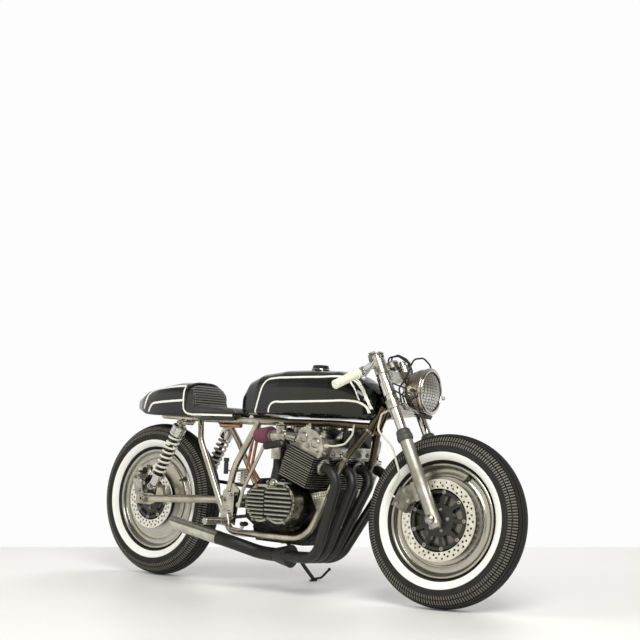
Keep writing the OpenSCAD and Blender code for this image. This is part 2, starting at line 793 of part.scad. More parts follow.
// Front caliper and its bracket behind the right leg
module front_caliper() {
  color("dimgray") steered() difference() {
    union() {
      translate([-98, 0, 122]) rotate([0, -129, 0]) translate([-34, 6 - fork_half, -38])
        cube([68, fork_half - front_hub_y + 17, 76]);
      translate([-90, -fork_half + 6, 96]) cube([44, 18, 68]);
    }
    translate([0, 2 - front_hub_y, 0]) rotate([90, 0, 0]) cylinder(h = rotor_t + 9, r = front_rotor_r + 6);
    translate([0, -20, 0]) rotate([90, 0, 0]) cylinder(h = 40, r = front_rotor_r - 35);
  }
}

// Front brake hose from the caliper up to the lower clamp
module brake_hose() {
  color("#d8d2c0") steered() tube_path([[-128.4, -82, 145], [-146, -86, 170], [-78, -86, 220], [-70, -84, 330], [-112, -74, 420],
    [-78, -62, 474], [-44.5, -60, 473]], [14, 40, 90, 36, 16], 8);
}

// Black stay from the lower clamp to the underside of the headlight
module lamp_bracket() {
  color("#161616") steered() difference() {
    union() {
      translate([0, 15, 0]) rotate([90, 0, 0]) linear_extrude(30)
        polygon([[4, 488], [34, 458], [66, 424], [86, 398], [74, 388], [44, 408], [16, 442], [4, 458]]);
      translate([34, 0, 404]) cylinder(h = 30, d = 12);
    }
    lamp_frame() rotate([0, 90, 0]) translate([0, 0, -120]) cylinder(h = 200, d = lamp_d + 0.6);
  }
}

// Control cables that loop ahead of the bars, into the headlight and the lower clamp
module control_cables() {
  cable_d = 7;
  pod_top = upper_clamp_s + upper_clamp_t + 49.2;
  clamp_top = lower_clamp_s + lower_clamp_t + 0.2;
  color("#141414") steered() difference() {
    union() {
      tube_path([[-10, 42, pod_top], [-12, 42, 700], [30, 30, 690], [66, 10, 650], [78, 0, 612], [44, -6, 578],
        [4, -12, 552], [-6, -14, clamp_top]], [12, 26, 30, 24, 24, 18], cable_d);
      tube_path([[-30, 54, pod_top], [-32, 54, 712], [20, 50, 694], [58, 42, 640], [58, 38, 600], [16, 30, 556],
        [-8, 24, 536], [-10, 22, clamp_top]], [14, 26, 30, 24, 14, 10], cable_d);
      tube_path([[56, 42, 630], [84, 40, 648], [122, 40, 634], [138, 38, 596], [134, 38, 556]], [22, 26, 30], cable_d);
      bar([70, 8, 632], [54, 42, 632], 13);
    }
    lamp_frame() rotate([0, 90, 0]) translate([0, 0, -40]) cylinder(h = 60, d = lamp_d + 0.6);
  }
}

module lamp_frame() {
  translate([114.8, 0, 485.8]) rotate([0, rake, 0]) children();
}

// Headlight bowl with its bezel and side bosses
module headlight_shell() {
  r = lamp_d / 2;
  bowl = [[r - 12, 6], [r, 6], [r, -6], [r - 2, -12], [r - 4, -30], [r - 11, -52], [r - 24, -72], [r - 43, -86],
    [r - 68, -94], [0, -96]];
  hollow = [[0, -91], [r - 70, -89], [r - 46, -82], [r - 27, -69], [r - 15, -50], [r - 9, -29], [r - 9, -8],
    [r - 18, -8], [r - 18, -2], [r - 12, -2]];
  color("gainsboro") steered() lamp_frame() {
    rotate([0, 90, 0]) rotate_extrude() polygon(concat(bowl, hollow));
    difference() {
      both() pin(-36, 0, r - 8, r + 3, 24);
      rotate([0, 90, 0]) translate([0, 0, -60]) cylinder(h = 60, r = r - 5.5);
    }
  }
}

// Domed headlight lens
module headlight_lens() {
  r = lamp_d / 2 - 12;
  color("#dfe3e0") steered() lamp_frame() rotate([0, 90, 0]) rotate_extrude()
    polygon([[0, -2], [r - 0.1, -2], [r - 0.1, 6], [r - 8, 10], [r - 30, 16], [r - 55, 19], [0, 20]]);
}

// Headlight ears clamped on the fork tubes
module headlight_ears() {
  r = lamp_d / 2;
  color("gainsboro") steered() difference() {
    union() {
      both() {
        translate([0, fork_half, 512]) cylinder(h = 56, d = stanchion_d + 10);
        translate([0, r + 8, 0]) rotate([90, 0, 0]) linear_extrude(5)
          polygon([[0, 560], [20, 560], [98, 486], [98, 458], [70, 456], [20, 520], [0, 520]]);
      }
    }
    both() translate([0, fork_half, 500]) cylinder(h = 90, d = stanchion_d);
  }
}

function bar_end(s) = [-104, s * 300, 640 - bar_drop];
function bar_root(s) = [-14, s * (fork_half + 8), 648];

// Clip-on handlebars with their clamps round the fork tubes
module clip_ons() {
  color("gainsboro") steered() difference() {
    for (s = [-1, 1]) {
      translate([0, s * fork_half, upper_clamp_s + upper_clamp_t + 1]) cylinder(h = 30, d = stanchion_d + 17);
      bar(bar_root(s), bar_end(s), 22);
    }
    both() translate([0, fork_half, 600]) cylinder(h = 90, d = stanchion_d);
  }
}

// Pale rubber grips
module grips() {
  color("#e9e6dc") steered() for (s = [-1, 1]) {
    dir = unit(bar_end(s) - bar_root(s));
    difference() {
      union() {
        bar(bar_end(s) - 124 * dir, bar_end(s) + 4 * dir, 33);
        bar(bar_end(s) - 126 * dir, bar_end(s) - 118 * dir, 40);
      }
      bar(bar_end(s) - 140 * dir, bar_end(s), 22);
    }
  }
}

// Lever perches with their ball-ended levers
module levers() {
  color("gainsboro") steered() for (s = [-1, 1]) {
    dir = unit(bar_end(s) - bar_root(s));
    at = bar_end(s) - 150 * dir;
    difference() {
      union() {
        bar(at - 11 * dir, at + 11 * dir, 34);
        bar(at, at + [46, s * 4, 6], 20);
        tube_path([at + [40, s * 4, 4], at + [66, s * 22, -4], [24, s * 318, 542]], [14], 11);
        translate([24, s * 318, 542]) sphere(d = 16);
      }
      bar(at - 40 * dir, at + 40 * dir, 22);
    }
  }
}

// Speedometer on its bracket and a warning-light pod beside it
module instruments() {
  top = upper_clamp_s + upper_clamp_t + 18;
  color("#3a3a38") steered() {
    translate([-fork_offset, 0, top]) cylinder(h = 36, d = 26);
    translate([-fork_offset - 12, 0, top + 36]) rotate([0, 20, 0]) {
      cylinder(h = 40, d1 = 50, d2 = 64);
      translate([0, 0, 40]) cylinder(h = 10, d1 = 64, d2 = 52);
    }
    translate([-26, 54, upper_clamp_s + upper_clamp_t]) cylinder(h = 24, d = 20);
    translate([-20, 42, upper_clamp_s + upper_clamp_t + 24]) cylinder(h = 25, d = 60);
  }
}

module tyre(at) {
  turned(at) difference() {
    translate([tyre_r - tyre_half, 0]) circle(tyre_half);
    translate([tyre_r - tyre_half, 0]) circle(tyre_half - tyre_wall);
    translate([0, -100]) square([rim_r - 4, 200]);
  }
}

// dished disc wheel, drawn as radius and distance to the right
module disc_wheel(at, hub_right, hub_left) {
  lip = 38;
  seat_r = rim_r - 9;
  hub_r = 58;
  t = disc_t;
  function out(f) = hub_r + f * (seat_r - 3 - hub_r);
  face = [[hub_r, 42], [out(0.22), 38], [out(0.56), 30], [out(0.87), 22], [out(0.945), 23], [seat_r - 3, lip - 5]];
  difference() {
    union() {
      turned(at) difference() {
        polygon(concat(face, [[seat_r - 3, lip], [rim_r, lip], [rim_r, lip - 4], [seat_r + 2, lip - 5], [seat_r - 4, 20],
          [seat_r - 4, -20], [seat_r + 2, -lip + 5], [rim_r, -lip + 4], [rim_r, -lip], [seat_r - 3, -lip]],
          [for (i = [len(face) - 1:-1:0]) [face[i][0], -face[i][1]]]));
        polygon([[hub_r + 4, 37], [out(0.22), 38 - t], [out(0.56), 30 - t], [out(0.87), 22 - t], [seat_r - 10, 14],
          [seat_r - 10, -14], [out(0.87), t - 22], [out(0.56), t - 30], [out(0.22), t - 38], [hub_r + 4, -37]]);
      }
      translate(at) pin(0, 0, -hub_right, hub_left, 2 * hub_r + 4);
    }
    translate(at) pin(0, 0, -100, 100, axle_d + 2 * fit);
    translate(at) rotate([90, 0, 0]) translate([seat_r - 35, 0, 0]) cylinder(h = 60, d = 22);
  }
}

// drilled rotor ring, joined to its hub by a carrier with arms
module rotor(at, y, r, hub_r, arms, turn) {
  difference() {
    union() {
      turned(at) translate([r - 34, -y]) square([34, rotor_t]);
      turned(at) translate([axle_d / 2 + 6, -y]) square([hub_r - axle_d / 2 - 6, rotor_t]);
      for (i = [0:arms - 1]) {
        translate(at) rotate([0, 360 * i / arms + turn, 0]) translate([hub_r - 4, y - rotor_t + 1, -8])
          cube([r - 27 - hub_r, rotor_t - 2, 16]);
      }
    }
    for (i = [0:arms - 1], j = [0:2]) {
      translate(at) rotate([0, 360 * i / arms + turn + 11 * (j - 1), 0]) translate([r - 27 + 9 * j, y + 10, 0])
        rotate([90, 0, 0]) cylinder(h = 40, d = 7);
    }
  }
}

// Front tyre, wheel and rotor turn on the front axle
module front_tyre() {
  color("#1b1b1b") steered() tyre([0, 0, 0]);
}

module front_wheel() {
  color("gainsboro") steered() disc_wheel([0, 0, 0], front_hub_y, front_hub_y);
}

module front_rotor() {
  color("silver") steered() rotor([0, 0, 0], -front_hub_y, front_rotor_r, 58, 9, 25);
}

// Rear tyre, wheel, rotor and sprocket turn on the rear axle
module rear_tyre() {
  color("#1b1b1b") parked() tyre([0, 0, axle_z]);
}

module rear_wheel() {
  color("gainsboro") parked() disc_wheel([0, 0, axle_z], 64, 71);
}

module rear_rotor() {
  color("silver") parked() rotor([0, 0, axle_z], -64, rear_rotor_r, 58, 8, 10);
}

module rear_sprocket() {
  teeth = 36;
  color("dimgray") parked() difference() {
    translate([0, 77, axle_z]) rotate([90, 0, 0]) linear_extrude(6)
      polygon([for (i = [0:2 * teeth - 1]) let (r = i % 2 == 0 ? sprocket_r : sprocket_r - 5, a = 180 * i / teeth)
        [r * cos(a), r * sin(a)]]);
    pin(0, axle_z, 60, 90, axle_d + 12);
    for (i = [0:5]) {
      translate([0, 0, axle_z]) rotate([0, 60 * i, 0]) pin(68, 0, 60, 90, 20);
    }
  }
}

// Side stand swung out, its foot flat on the ground
module side_stand() {
  foot = [foot_x, foot_y, foot_y * tan(lean) - lift / cos(lean) - rise];
  dir = unit(foot - stand_pivot);
  color("#161616") parked() {
    difference() {
      union() {
        aim(stand_pivot, stand_axis, [1, 0, 0]) translate([0, 0, 0.3]) cylinder(h = 15, d = 30);
        bar(stand_pivot + 12 * dir + 8 * unit(stand_axis), foot + [0, 0, 8], stand_d);
        tube_path([foot + [0, 0, 8], foot + [16, 34, 14], foot + [34, 62, 50]], [24], 10);
        translate(foot + [34, 62, 50]) sphere(d = 14);
        translate(foot) rotate([lean, 0, 0]) cylinder(h = 6, d = 34);
      }
      aim(stand_pivot, stand_axis, [1, 0, 0]) translate([0, 0, -30]) cylinder(h = 90, d = 12 + 2 * fit);
      aim(stand_pivot, stand_axis, [1, 0, 0]) translate([0, 0, 15.3]) cylinder(h = 30, d = 24);
      aim(stand_pivot, stand_axis, [1, 0, 0]) translate([0, 0, -30]) cylinder(h = 30.3, d = 60);
      translate(foot) rotate([lean, 0, 0]) translate([0, 0, -40]) cylinder(h = 40, d = 200);
    }
  }
}

frame();
rear_struts();
swingarm();
rear_axle();
engine_cases();
cylinder_block();
cylinder_head();
upper_head();
clutch_cover();
alternator_cover();
sprocket_cover();
carburettors();
air_filters();
exhaust_headers();
exhaust_tip();
tank();
filler_cap();
seat();
tail_cowl();
tail_lamp();
shocks();
springs();
kick_starter();
foot_controls();
copper_lines();
copper_bar();
coil_box();
plug_lead();
rectifier();
rubber_duct();
mesh_plate();
drive_chain();
rear_caliper();
fork_clamps();
fork_tubes();
fork_legs();
fork_seals();
front_axle();
front_caliper();
brake_hose();
lamp_bracket();
control_cables();
headlight_shell();
headlight_lens();
headlight_ears();
clip_ons();
grips();
levers();
instruments();
front_tyre();
front_wheel();
front_rotor();
rear_tyre();
rear_wheel();
rear_rotor();
rear_sprocket();
side_stand();
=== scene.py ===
# Cafe racer motorcycle: an air-cooled four in a nickel-plated cradle frame, with a black tank and tail,
# whitewall balloon tyres on spun disc wheels, parked on its side stand with the bars a little to the left.
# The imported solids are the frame; each section below dresses one piece or group as it goes together.
import math

import bmesh
import bpy
from mathutils import Matrix, Vector


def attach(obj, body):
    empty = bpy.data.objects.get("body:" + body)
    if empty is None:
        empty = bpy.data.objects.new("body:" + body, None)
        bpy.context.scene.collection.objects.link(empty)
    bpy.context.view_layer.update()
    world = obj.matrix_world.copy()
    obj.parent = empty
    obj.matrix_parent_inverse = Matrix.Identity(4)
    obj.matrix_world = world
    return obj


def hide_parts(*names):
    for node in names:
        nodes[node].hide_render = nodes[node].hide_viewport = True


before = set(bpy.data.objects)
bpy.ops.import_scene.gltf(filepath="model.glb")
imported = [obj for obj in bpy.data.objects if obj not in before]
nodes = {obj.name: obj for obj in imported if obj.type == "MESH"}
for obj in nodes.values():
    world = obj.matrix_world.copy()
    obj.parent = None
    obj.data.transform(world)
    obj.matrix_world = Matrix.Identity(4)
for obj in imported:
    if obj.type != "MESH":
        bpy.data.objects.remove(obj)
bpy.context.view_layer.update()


# The stage: a pale concrete floor that ends at a white wall's foot, soft lamps above and in front,
# and the camera low and level, ahead of the right-hand side.
VIEW_TURN = math.radians(39.597)
WALL_FROM_CAMERA = 7.573
FLOOR_SIZE = 18
SOFT = {"interpolation_type": "SMOOTHSTEP"}
RGB = {"data_type": "RGBA"}


def hue(code):
    """Linear colour of an sRGB hex value."""
    parts = [int(code[i:i + 2], 16) / 255 for i in (1, 3, 5)]
    return [p / 12.92 if p <= 0.04045 else ((p + 0.055) / 1.055) ** 2.4 for p in parts] + [1.0]


def feed(tree, node, inputs):
    """Links the sockets given to a node's inputs, and sets the others to their values."""
    for key, value in inputs.items():
        if isinstance(value, bpy.types.NodeSocket):
            tree.links.new(value, node.inputs[key])
        else:
            node.inputs[key].default_value = value


def add(tree, kind, *values, **settings):
    """Adds a node with its settings; values go to its inputs in order, or by name when given as a table."""
    made = tree.nodes.new("ShaderNode" + kind)
    for key, value in settings.items():
        setattr(made, key, value)
    feed(tree, made, values[0] if values and isinstance(values[0], dict) else dict(enumerate(values)))
    return made.outputs


def fresh(name):
    """An empty material: its tree, its shader and the place of a point on the piece, in metres."""
    material = bpy.data.materials.new(name)
    material.use_nodes = True
    tree = material.node_tree
    return material, tree, tree.nodes["Principled BSDF"], add(tree, "TexCoord")["Object"]


bpy.context.scene.view_settings.view_transform = "Standard"
camera_at = Vector((4.0022, -4.7102, 0.9121))
bpy.ops.object.camera_add(location=camera_at, rotation=(math.radians(90), 0, VIEW_TURN))
camera = bpy.context.object
camera.data.lens = 85
camera.data.sensor_width = 36
camera.data.shift_y = 0.0704
bpy.context.scene.camera = camera

ahead = Vector((-math.sin(VIEW_TURN), math.cos(VIEW_TURN), 0))
floor_middle = camera_at + ahead * (WALL_FROM_CAMERA - FLOOR_SIZE / 2)
bpy.ops.mesh.primitive_plane_add(size=FLOOR_SIZE, location=(floor_middle.x, floor_middle.y, 0),
                                 rotation=(0, 0, VIEW_TURN))
floor = bpy.context.object
floor.name = "floor"
bpy.ops.object.transform_apply()
# floated concrete: nearly white, in soft clouds of more than half a metre
concrete, tree, shader, place = fresh("pale_concrete")
cloud = add(tree, "TexNoise", {"Vector": place, "Scale": 1000 / 625, "Detail": 6.0, "Roughness": 0.6})["Fac"]
feed(tree, shader, {
    "Base Color": add(tree, "Mix", {"Factor": cloud, "A": hue("#f0efeb"), "B": hue("#faf9f6")},
                      **RGB)["Result"],
    "Roughness": 0.42})
floor.data.materials.append(concrete)

# The room: a white wall ahead, and behind the camera a dim room with two soft windows, which gives black
# lacquer its depth and bright metal its dark bands.
WALL_BACK, WALL_FRONT, ROOM_LEVEL = -0.3, 0.15, 0.2
# each window: its direction as back, across and up, its spread and its strength
WINDOWS = (((-0.62, -0.76, 0.2), 0.3, 1.1), ((-0.7, 0.66, 0.28), 0.26, 0.9))
world = bpy.data.worlds.new("studio")
bpy.context.scene.world = world
world.use_nodes = True
tree = world.node_tree
ray = add(tree, "LightPath")
way = add(tree, "TexCoord")["Generated"]
aside = Vector((ahead.y, -ahead.x, 0))
to_wall = add(tree, "VectorMath", way, ahead, operation="DOT_PRODUCT")["Value"]
wall = add(tree, "MapRange", to_wall, WALL_BACK, WALL_FRONT, 0.0, 1.0, **SOFT)[0]
room = add(tree, "MapRange", to_wall, WALL_BACK, WALL_FRONT, ROOM_LEVEL, 1.0, **SOFT)[0]
for (back, across, up), spread, strength in WINDOWS:
    middle = (ahead * back + aside * across + Vector((0, 0, up))).normalized()
    near = add(tree, "VectorMath", way, middle, operation="DOT_PRODUCT")["Value"]
    glow = add(tree, "MapRange", near, 1 - spread, 1 - spread * 0.2, 0.0, strength, **SOFT)[0]
    room = add(tree, "Math", room, glow, operation="ADD")[0]
ceiling = add(tree, "MapRange", add(tree, "SeparateXYZ", way)["Z"], 0.34, 0.6, 1.0, 0.34, **SOFT)[0]
mirrored = add(tree, "Math", ray["Is Glossy Ray"], ray["Is Transmission Ray"], operation="MAXIMUM")[0]
# plain rays get an even light of a half, mirrored ones see the room, and the camera sees white
even = add(tree, "Math", mirrored, -0.5, 0.5, operation="MULTIPLY_ADD")[0]
level = add(tree, "Math", mirrored, room, even, operation="MULTIPLY_ADD")[0]
level = add(tree, "Math", level, ceiling, operation="MULTIPLY")[0]
white = add(tree, "Math", ray["Is Camera Ray"], 0.98, operation="MULTIPLY")[0]
plain = add(tree, "Math", wall, ray["Is Camera Ray"], operation="MAXIMUM")[0]
feed(tree, tree.nodes["Background"], {
    "Strength": add(tree, "Math", level, white, operation="MAXIMUM")[0],
    "Color": add(tree, "Mix", {"Factor": plain, "A": hue("#e6e4d2"), "B": hue("#ffffff")}, **RGB)["Result"]})

for name, spot, size, power in (
    ("key_lamp", (2.6, -2.2, 3.4), 2.4, 150),
    ("fill_lamp", (-2.8, -2.6, 2.6), 2.2, 70),
    ("back_lamp", (-0.6, 2.6, 3.2), 2.6, 70),
):
    bpy.ops.object.light_add(type="AREA", location=spot)
    lamp = bpy.context.object
    lamp.name = name
    lamp.data.size = size
    lamp.data.energy = power
    lamp.visible_glossy = name == "key_lamp"
    lamp.rotation_euler = (Vector((0, 0, 0.4)) - Vector(spot)).to_track_quat("-Z", "Y").to_euler()


# Frame, struts and swingarm: bent steel tube, brazed at its joints and nickel-plated. The plate is a warm
# grey that is a little cloudy, with duller patches and fine polishing marks.
LEAN = math.radians(4.5)
PARKED = Matrix.Translation((-0.7522, -0.0733, 0.000188)) @ Matrix.Rotation(-LEAN, 4, "X")


def worn_metal(name, bright, dull, rough, patch_mm, grain_mm, bump_mm=0.02):
    """Bare or plated metal: duller clouds of one size, and a fine grain that scatters the shine."""
    material, tree, shader, place = fresh(name)
    cloud = add(tree, "TexNoise", {"Vector": place, "Scale": 1000 / patch_mm, "Detail": 5.0})["Fac"]
    grain = add(tree, "TexNoise", {"Vector": place, "Scale": 1000 / grain_mm, "Detail": 3.0})["Fac"]
    worn = add(tree, "MapRange", cloud, 0.35, 0.7, 0.0, 1.0)[0]
    feed(tree, shader, {
        "Base Color": add(tree, "Mix", {"Factor": worn, "A": hue(bright), "B": hue(dull)}, **RGB)["Result"],
        "Roughness": add(tree, "MapRange", cloud, 0.3, 0.7, rough * 0.8, rough * 1.3)[0],
        "Normal": add(tree, "Bump", {"Height": grain, "Strength": 0.4, "Distance": bump_mm / 1000})["Normal"],
        "Metallic": 1.0})
    return material


def own_place(tree, place, base):
    """The x, y and z of a point as seen from a piece's own frame."""
    return add(tree, "SeparateXYZ", add(tree, "Mapping", {
        "Vector": place, "Location": base.to_translation(), "Rotation": base.to_euler()},
        vector_type="TEXTURE")["Vector"])


def dress(material, *names):
    """Gives CAD nodes a finish."""
    for name in names:
        nodes[name].data.materials.clear()
        nodes[name].data.materials.append(material)


# plated tube: warm grey with a soft shine
nickel = worn_metal("nickel_plate", "#cbc5b6", "#a8a292", 0.3, 60, 1.2)
dress(nickel, "rear_struts", "swingarm")
# the same plate on the frame, with a painted dark reflection that darkens the tubes above and ahead of it
nickel_painted_dark_reflection = worn_metal("nickel_plate_painted_dark_reflection", "#cbc5b6", "#a8a292", 0.3, 60, 1.2)
tree = nickel_painted_dark_reflection.node_tree
shader = tree.nodes["Principled BSDF"]
spot = own_place(tree, tree.nodes["Texture Coordinate"].outputs["Object"], PARKED)
high = add(tree, "MapRange", spot["Z"], 0.40, 0.58, 0.0, 1.0, **SOFT)[0]
forward = add(tree, "MapRange", spot["X"], 0.62, 0.84, 0.0, 1.0, **SOFT)[0]
# painted dark reflection: the plate is coloured darker high up and towards the front
painted_dark_reflection = add(tree, "Math", high, forward, operation="MULTIPLY")[0]
plated = shader.inputs["Base Color"].links[0].from_socket
feed(tree, shader, {
    "Base Color": add(tree, "Mix", {"Factor": painted_dark_reflection, "A": plated, "B": hue("#5f5646")}, **RGB)["Result"]})
dress(nickel_painted_dark_reflection, "frame")
# plain turned steel: finer and colder than the plate
steel = worn_metal("turned_steel", "#bdbab3", "#908d87", 0.28, 18, 0.8)
dress(steel, "rear_axle", "front_axle")


# Clamp rings on the front tubes: bright steel bands, turned with rounded edges and slid over the plated
# tube, two on each side.
SIDES = (-1, 1)


def opened(name):
    """Names the primitive just added and opens it for shaping."""
    piece = bpy.context.object
    piece.name = piece.data.name = name
    bpy.ops.object.mode_set(mode="EDIT")
    bpy.ops.mesh.select_mode(type="VERT")
    bpy.ops.mesh.select_all(action="SELECT")
    return piece


def drawn(name, points):
    """An open line: one vertex drawn from point to point, in mm."""
    bpy.ops.object.select_all(action="DESELECT")
    bpy.ops.mesh.primitive_plane_add(size=0.001)
    piece = opened(name)
    bpy.ops.mesh.merge(type="CENTER")
    at = Vector((0, 0, 0))
    for i, point in enumerate(points):
        step = Vector(point) / 1000 - at
        if i == 0:
            bpy.ops.transform.translate(value=step)
        else:
            bpy.ops.mesh.extrude_region_move(TRANSFORM_OT_translate={"value": step})
        at += step
    bpy.ops.mesh.select_all(action="SELECT")
    return piece


def turned(name, outline, steps=64):
    """A shape turned about its own Y, from an outline of (radius, aside) in mm."""
    piece = drawn(name, [(radius, aside, 0) for radius, aside in outline])
    bpy.ops.mesh.spin(steps=steps, angle=2 * math.pi, center=(0, 0, 0), axis=(0, 1, 0))
    bpy.ops.mesh.select_all(action="SELECT")
    bpy.ops.mesh.remove_doubles(threshold=0.00001)
    bpy.ops.mesh.normals_make_consistent(inside=False)
    return piece


def facing(base, at, towards, axis="Z"):
    """The place of a piece whose own axis looks along a direction at a point given in mm."""
    turn = Vector(towards).to_track_quat(axis, "Y" if axis == "Z" else "Z").to_matrix().to_4x4()
    return base @ Matrix.Translation(Vector(at) / 1000) @ turn


def repeated(piece, places):
    """Copies a shaped piece to several places, each with its own mesh, and joins them into one group."""
    if bpy.context.mode != "OBJECT":
        bpy.ops.object.mode_set(mode="OBJECT")
    bpy.ops.object.select_all(action="DESELECT")
    for place in places[1:]:
        twin = piece.copy()
        twin.data = piece.data.copy()
        bpy.context.collection.objects.link(twin)
        twin.data.transform(place)
        twin.select_set(True)
    piece.data.transform(places[0])
    piece.select_set(True)
    bpy.context.view_layer.objects.active = piece
    if len(places) > 1:
        bpy.ops.object.join()
    return piece


def settled(piece, body, slot, *materials, stands_for=(), sharp=34):
    """Shades a finished piece, gives it its finish, and says what it rides on and stands for."""
    if bpy.context.mode != "OBJECT":
        bpy.ops.object.mode_set(mode="OBJECT")
    for material in materials:
        piece.data.materials.append(material)
    bpy.ops.object.select_all(action="DESELECT")
    piece.select_set(True)
    bpy.context.view_layer.objects.active = piece
    bpy.ops.object.shade_smooth_by_angle(angle=math.radians(sharp))
    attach(piece, body)
    if stands_for:
        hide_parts(*stands_for)
    return piece


def bead(name, radius, aside, wire, steps=96, points=10):
    """A ring of round wire."""
    angles = [2 * math.pi * i / points for i in range(points + 1)]
    return turned(name, [(radius + wire * math.cos(a), aside + wire * math.sin(a)) for a in angles], steps)


band = turned("tube_clamp_rings", [(14.2, -5), (16.6, -5), (17.4, -4), (17.4, 4), (16.6, 5), (14.2, 5),
                                   (14.2, -5)], 40)
rings = [facing(PARKED, (x, side * y, z), (72, -side * 64, 129), "Y")
         for x, y, z in ((1084, 97, 543), (1146, 34, 655)) for side in SIDES]
settled(repeated(band, rings), "chassis", "steel", steel)


# Engine cases and castings: sand-cast aluminium. The cases are blackened and slightly rough, while the
# cam boxes, the carburettors and the alternator cover are polished by hand.
case_grey = worn_metal("cast_aluminium", "#3b3935", "#191816", 0.5, 22, 1.5, 0.10)
dress(case_grey, "engine_cases", "sprocket_cover")
# polished castings: bright and soft, with the faint ripple of a hand-held wheel
bright_cast = worn_metal("polished_castings", "#c6c3ba", "#96938a", 0.27, 30, 1.5)
dress(bright_cast, "upper_head", "alternator_cover", "carburettors", "rectifier")


# Cylinder block and head: blackened cast fins whose outer edges are machined bright, shown bright only along
# the upper part of each edge as a painted highlight. The edge is found by its distance from the middle of the
# block, in the block's own tilted frame.
BARREL = PARKED @ Matrix.Translation((0.921, 0, 0.442)) @ Matrix.Rotation(math.radians(20), 4, "Y")
FIN_DEPTH, FIN_WIDTH, EDGE = 0.158, 0.436, 0.0022
FIN_PITCH, FIN_FIRST, HEAD_FIRST, HEAD_JOINT = 0.0094, 0.005, 0.077, 0.074
FIN_T, HIGHLIGHT_LINE = 0.0036, 0.0014

# soot-black fins; each machined edge is bright only along its upper part, a thin painted highlight
fin_black, tree, shader, place = fresh("blackened_fins_machined_edges_painted_highlight")
spot = own_place(tree, place, BARREL)
outer = []
for axis, size in (("X", FIN_DEPTH), ("Y", FIN_WIDTH)):
    away = add(tree, "Math", spot[axis], operation="ABSOLUTE")[0]
    outer.append(add(tree, "Math", away, size / 2 - EDGE, operation="GREATER_THAN")[0])
in_head = add(tree, "Math", spot["Z"], HEAD_JOINT, operation="GREATER_THAN")[0]
first = add(tree, "Math", in_head, HEAD_FIRST - FIN_FIRST, FIN_FIRST, operation="MULTIPLY_ADD")[0]
above = add(tree, "Math", spot["Z"], first, operation="SUBTRACT")[0]
up_fin = add(tree, "Math", add(tree, "Math", above, FIN_PITCH, operation="DIVIDE")[0], operation="FRACT")[0]
# painted highlight: only the upper part of each fin's machined edge is coloured bright
painted_highlight_part = add(tree, "Math", up_fin, (FIN_T - HIGHLIGHT_LINE) / FIN_PITCH, operation="GREATER_THAN")[0]
edge = add(tree, "Math", add(tree, "Math", *outer, operation="MAXIMUM")[0], painted_highlight_part, operation="MULTIPLY")[0]
soot = add(tree, "TexNoise", {"Vector": place, "Scale": 1000 / 14.3, "Detail": 4.0})["Fac"]
dark = add(tree, "Mix", {"Factor": soot, "A": hue("#100f0e"), "B": hue("#23211e")}, **RGB)["Result"]
bare = add(tree, "Mix", {"Factor": soot, "A": hue("#d9d6cc"), "B": hue("#aeaba1")}, **RGB)["Result"]
feed(tree, shader, {
    "Base Color": add(tree, "Mix", {"Factor": edge, "A": dark, "B": bare}, **RGB)["Result"],
    "Roughness": add(tree, "MapRange", edge, 0.0, 1.0, 0.55, 0.3)[0],
    "Metallic": edge})
dress(fin_black, "cylinder_block", "cylinder_head")

# joint between head and cam boxes: a machined band of aluminium with rounded edges
bpy.ops.object.select_all(action="DESELECT")
bpy.ops.mesh.primitive_cube_add(size=1, scale=(0.150, 0.388, 0.007))
joint_band = opened("head_joint_band")
bpy.ops.mesh.bevel(offset=0.0022, segments=2)
bpy.ops.object.mode_set(mode="OBJECT")
bpy.ops.object.transform_apply()
joint_band.data.transform(BARREL @ Matrix.Translation((0, 0, 0.1305)))
settled(joint_band, "chassis", "polished_alloy", bright_cast)


# Clutch cover: a polished two-lobed casting. Its ribs and border are buffed bright, and the floor between the
# ribs and the ribs' flanks are coloured dark as painted shade. Where the shade lies is worked out from the
# ribs' pitch inside each lobe.
LOBES = ((0.775, 0.352, 0.066), (0.868, 0.357, 0.074))
# height of the lowest rib and the pitch of the ribs in each lobe, and the share of the pitch that is rib
RIBS, RIB_SHARE, LOBE_SPLIT = ((0.292, 0.015), (0.289, 0.017)), 0.62, 0.8055

ribbed_cast, tree, shader, place = fresh("buffed_ribs_painted_shade_between")
spot = own_place(tree, place, PARKED)
flat = add(tree, "CombineXYZ", spot["X"], 0.0, spot["Z"])[0]
lobes = []
for middle_x, middle_z, reach in LOBES:
    away = add(tree, "VectorMath", flat, (middle_x, 0, middle_z), operation="DISTANCE")["Value"]
    lobes.append(add(tree, "Math", away, reach, operation="LESS_THAN")[0])
inside = add(tree, "Math", *lobes, operation="MAXIMUM")[0]
wide_lobe = add(tree, "Math", spot["X"], LOBE_SPLIT, operation="GREATER_THAN")[0]
first, pitch = [add(tree, "Math", wide_lobe, wide - narrow, narrow, operation="MULTIPLY_ADD")[0]
                for narrow, wide in zip(*RIBS)]
above = add(tree, "Math", spot["Z"], first, operation="SUBTRACT")[0]
up_rib = add(tree, "Math", add(tree, "Math", above, pitch, operation="DIVIDE")[0], operation="FRACT")[0]
turn = add(tree, "Math", up_rib, math.pi / RIB_SHARE, operation="MULTIPLY")[0]
crown = add(tree, "Math", turn, operation="SINE")[0]
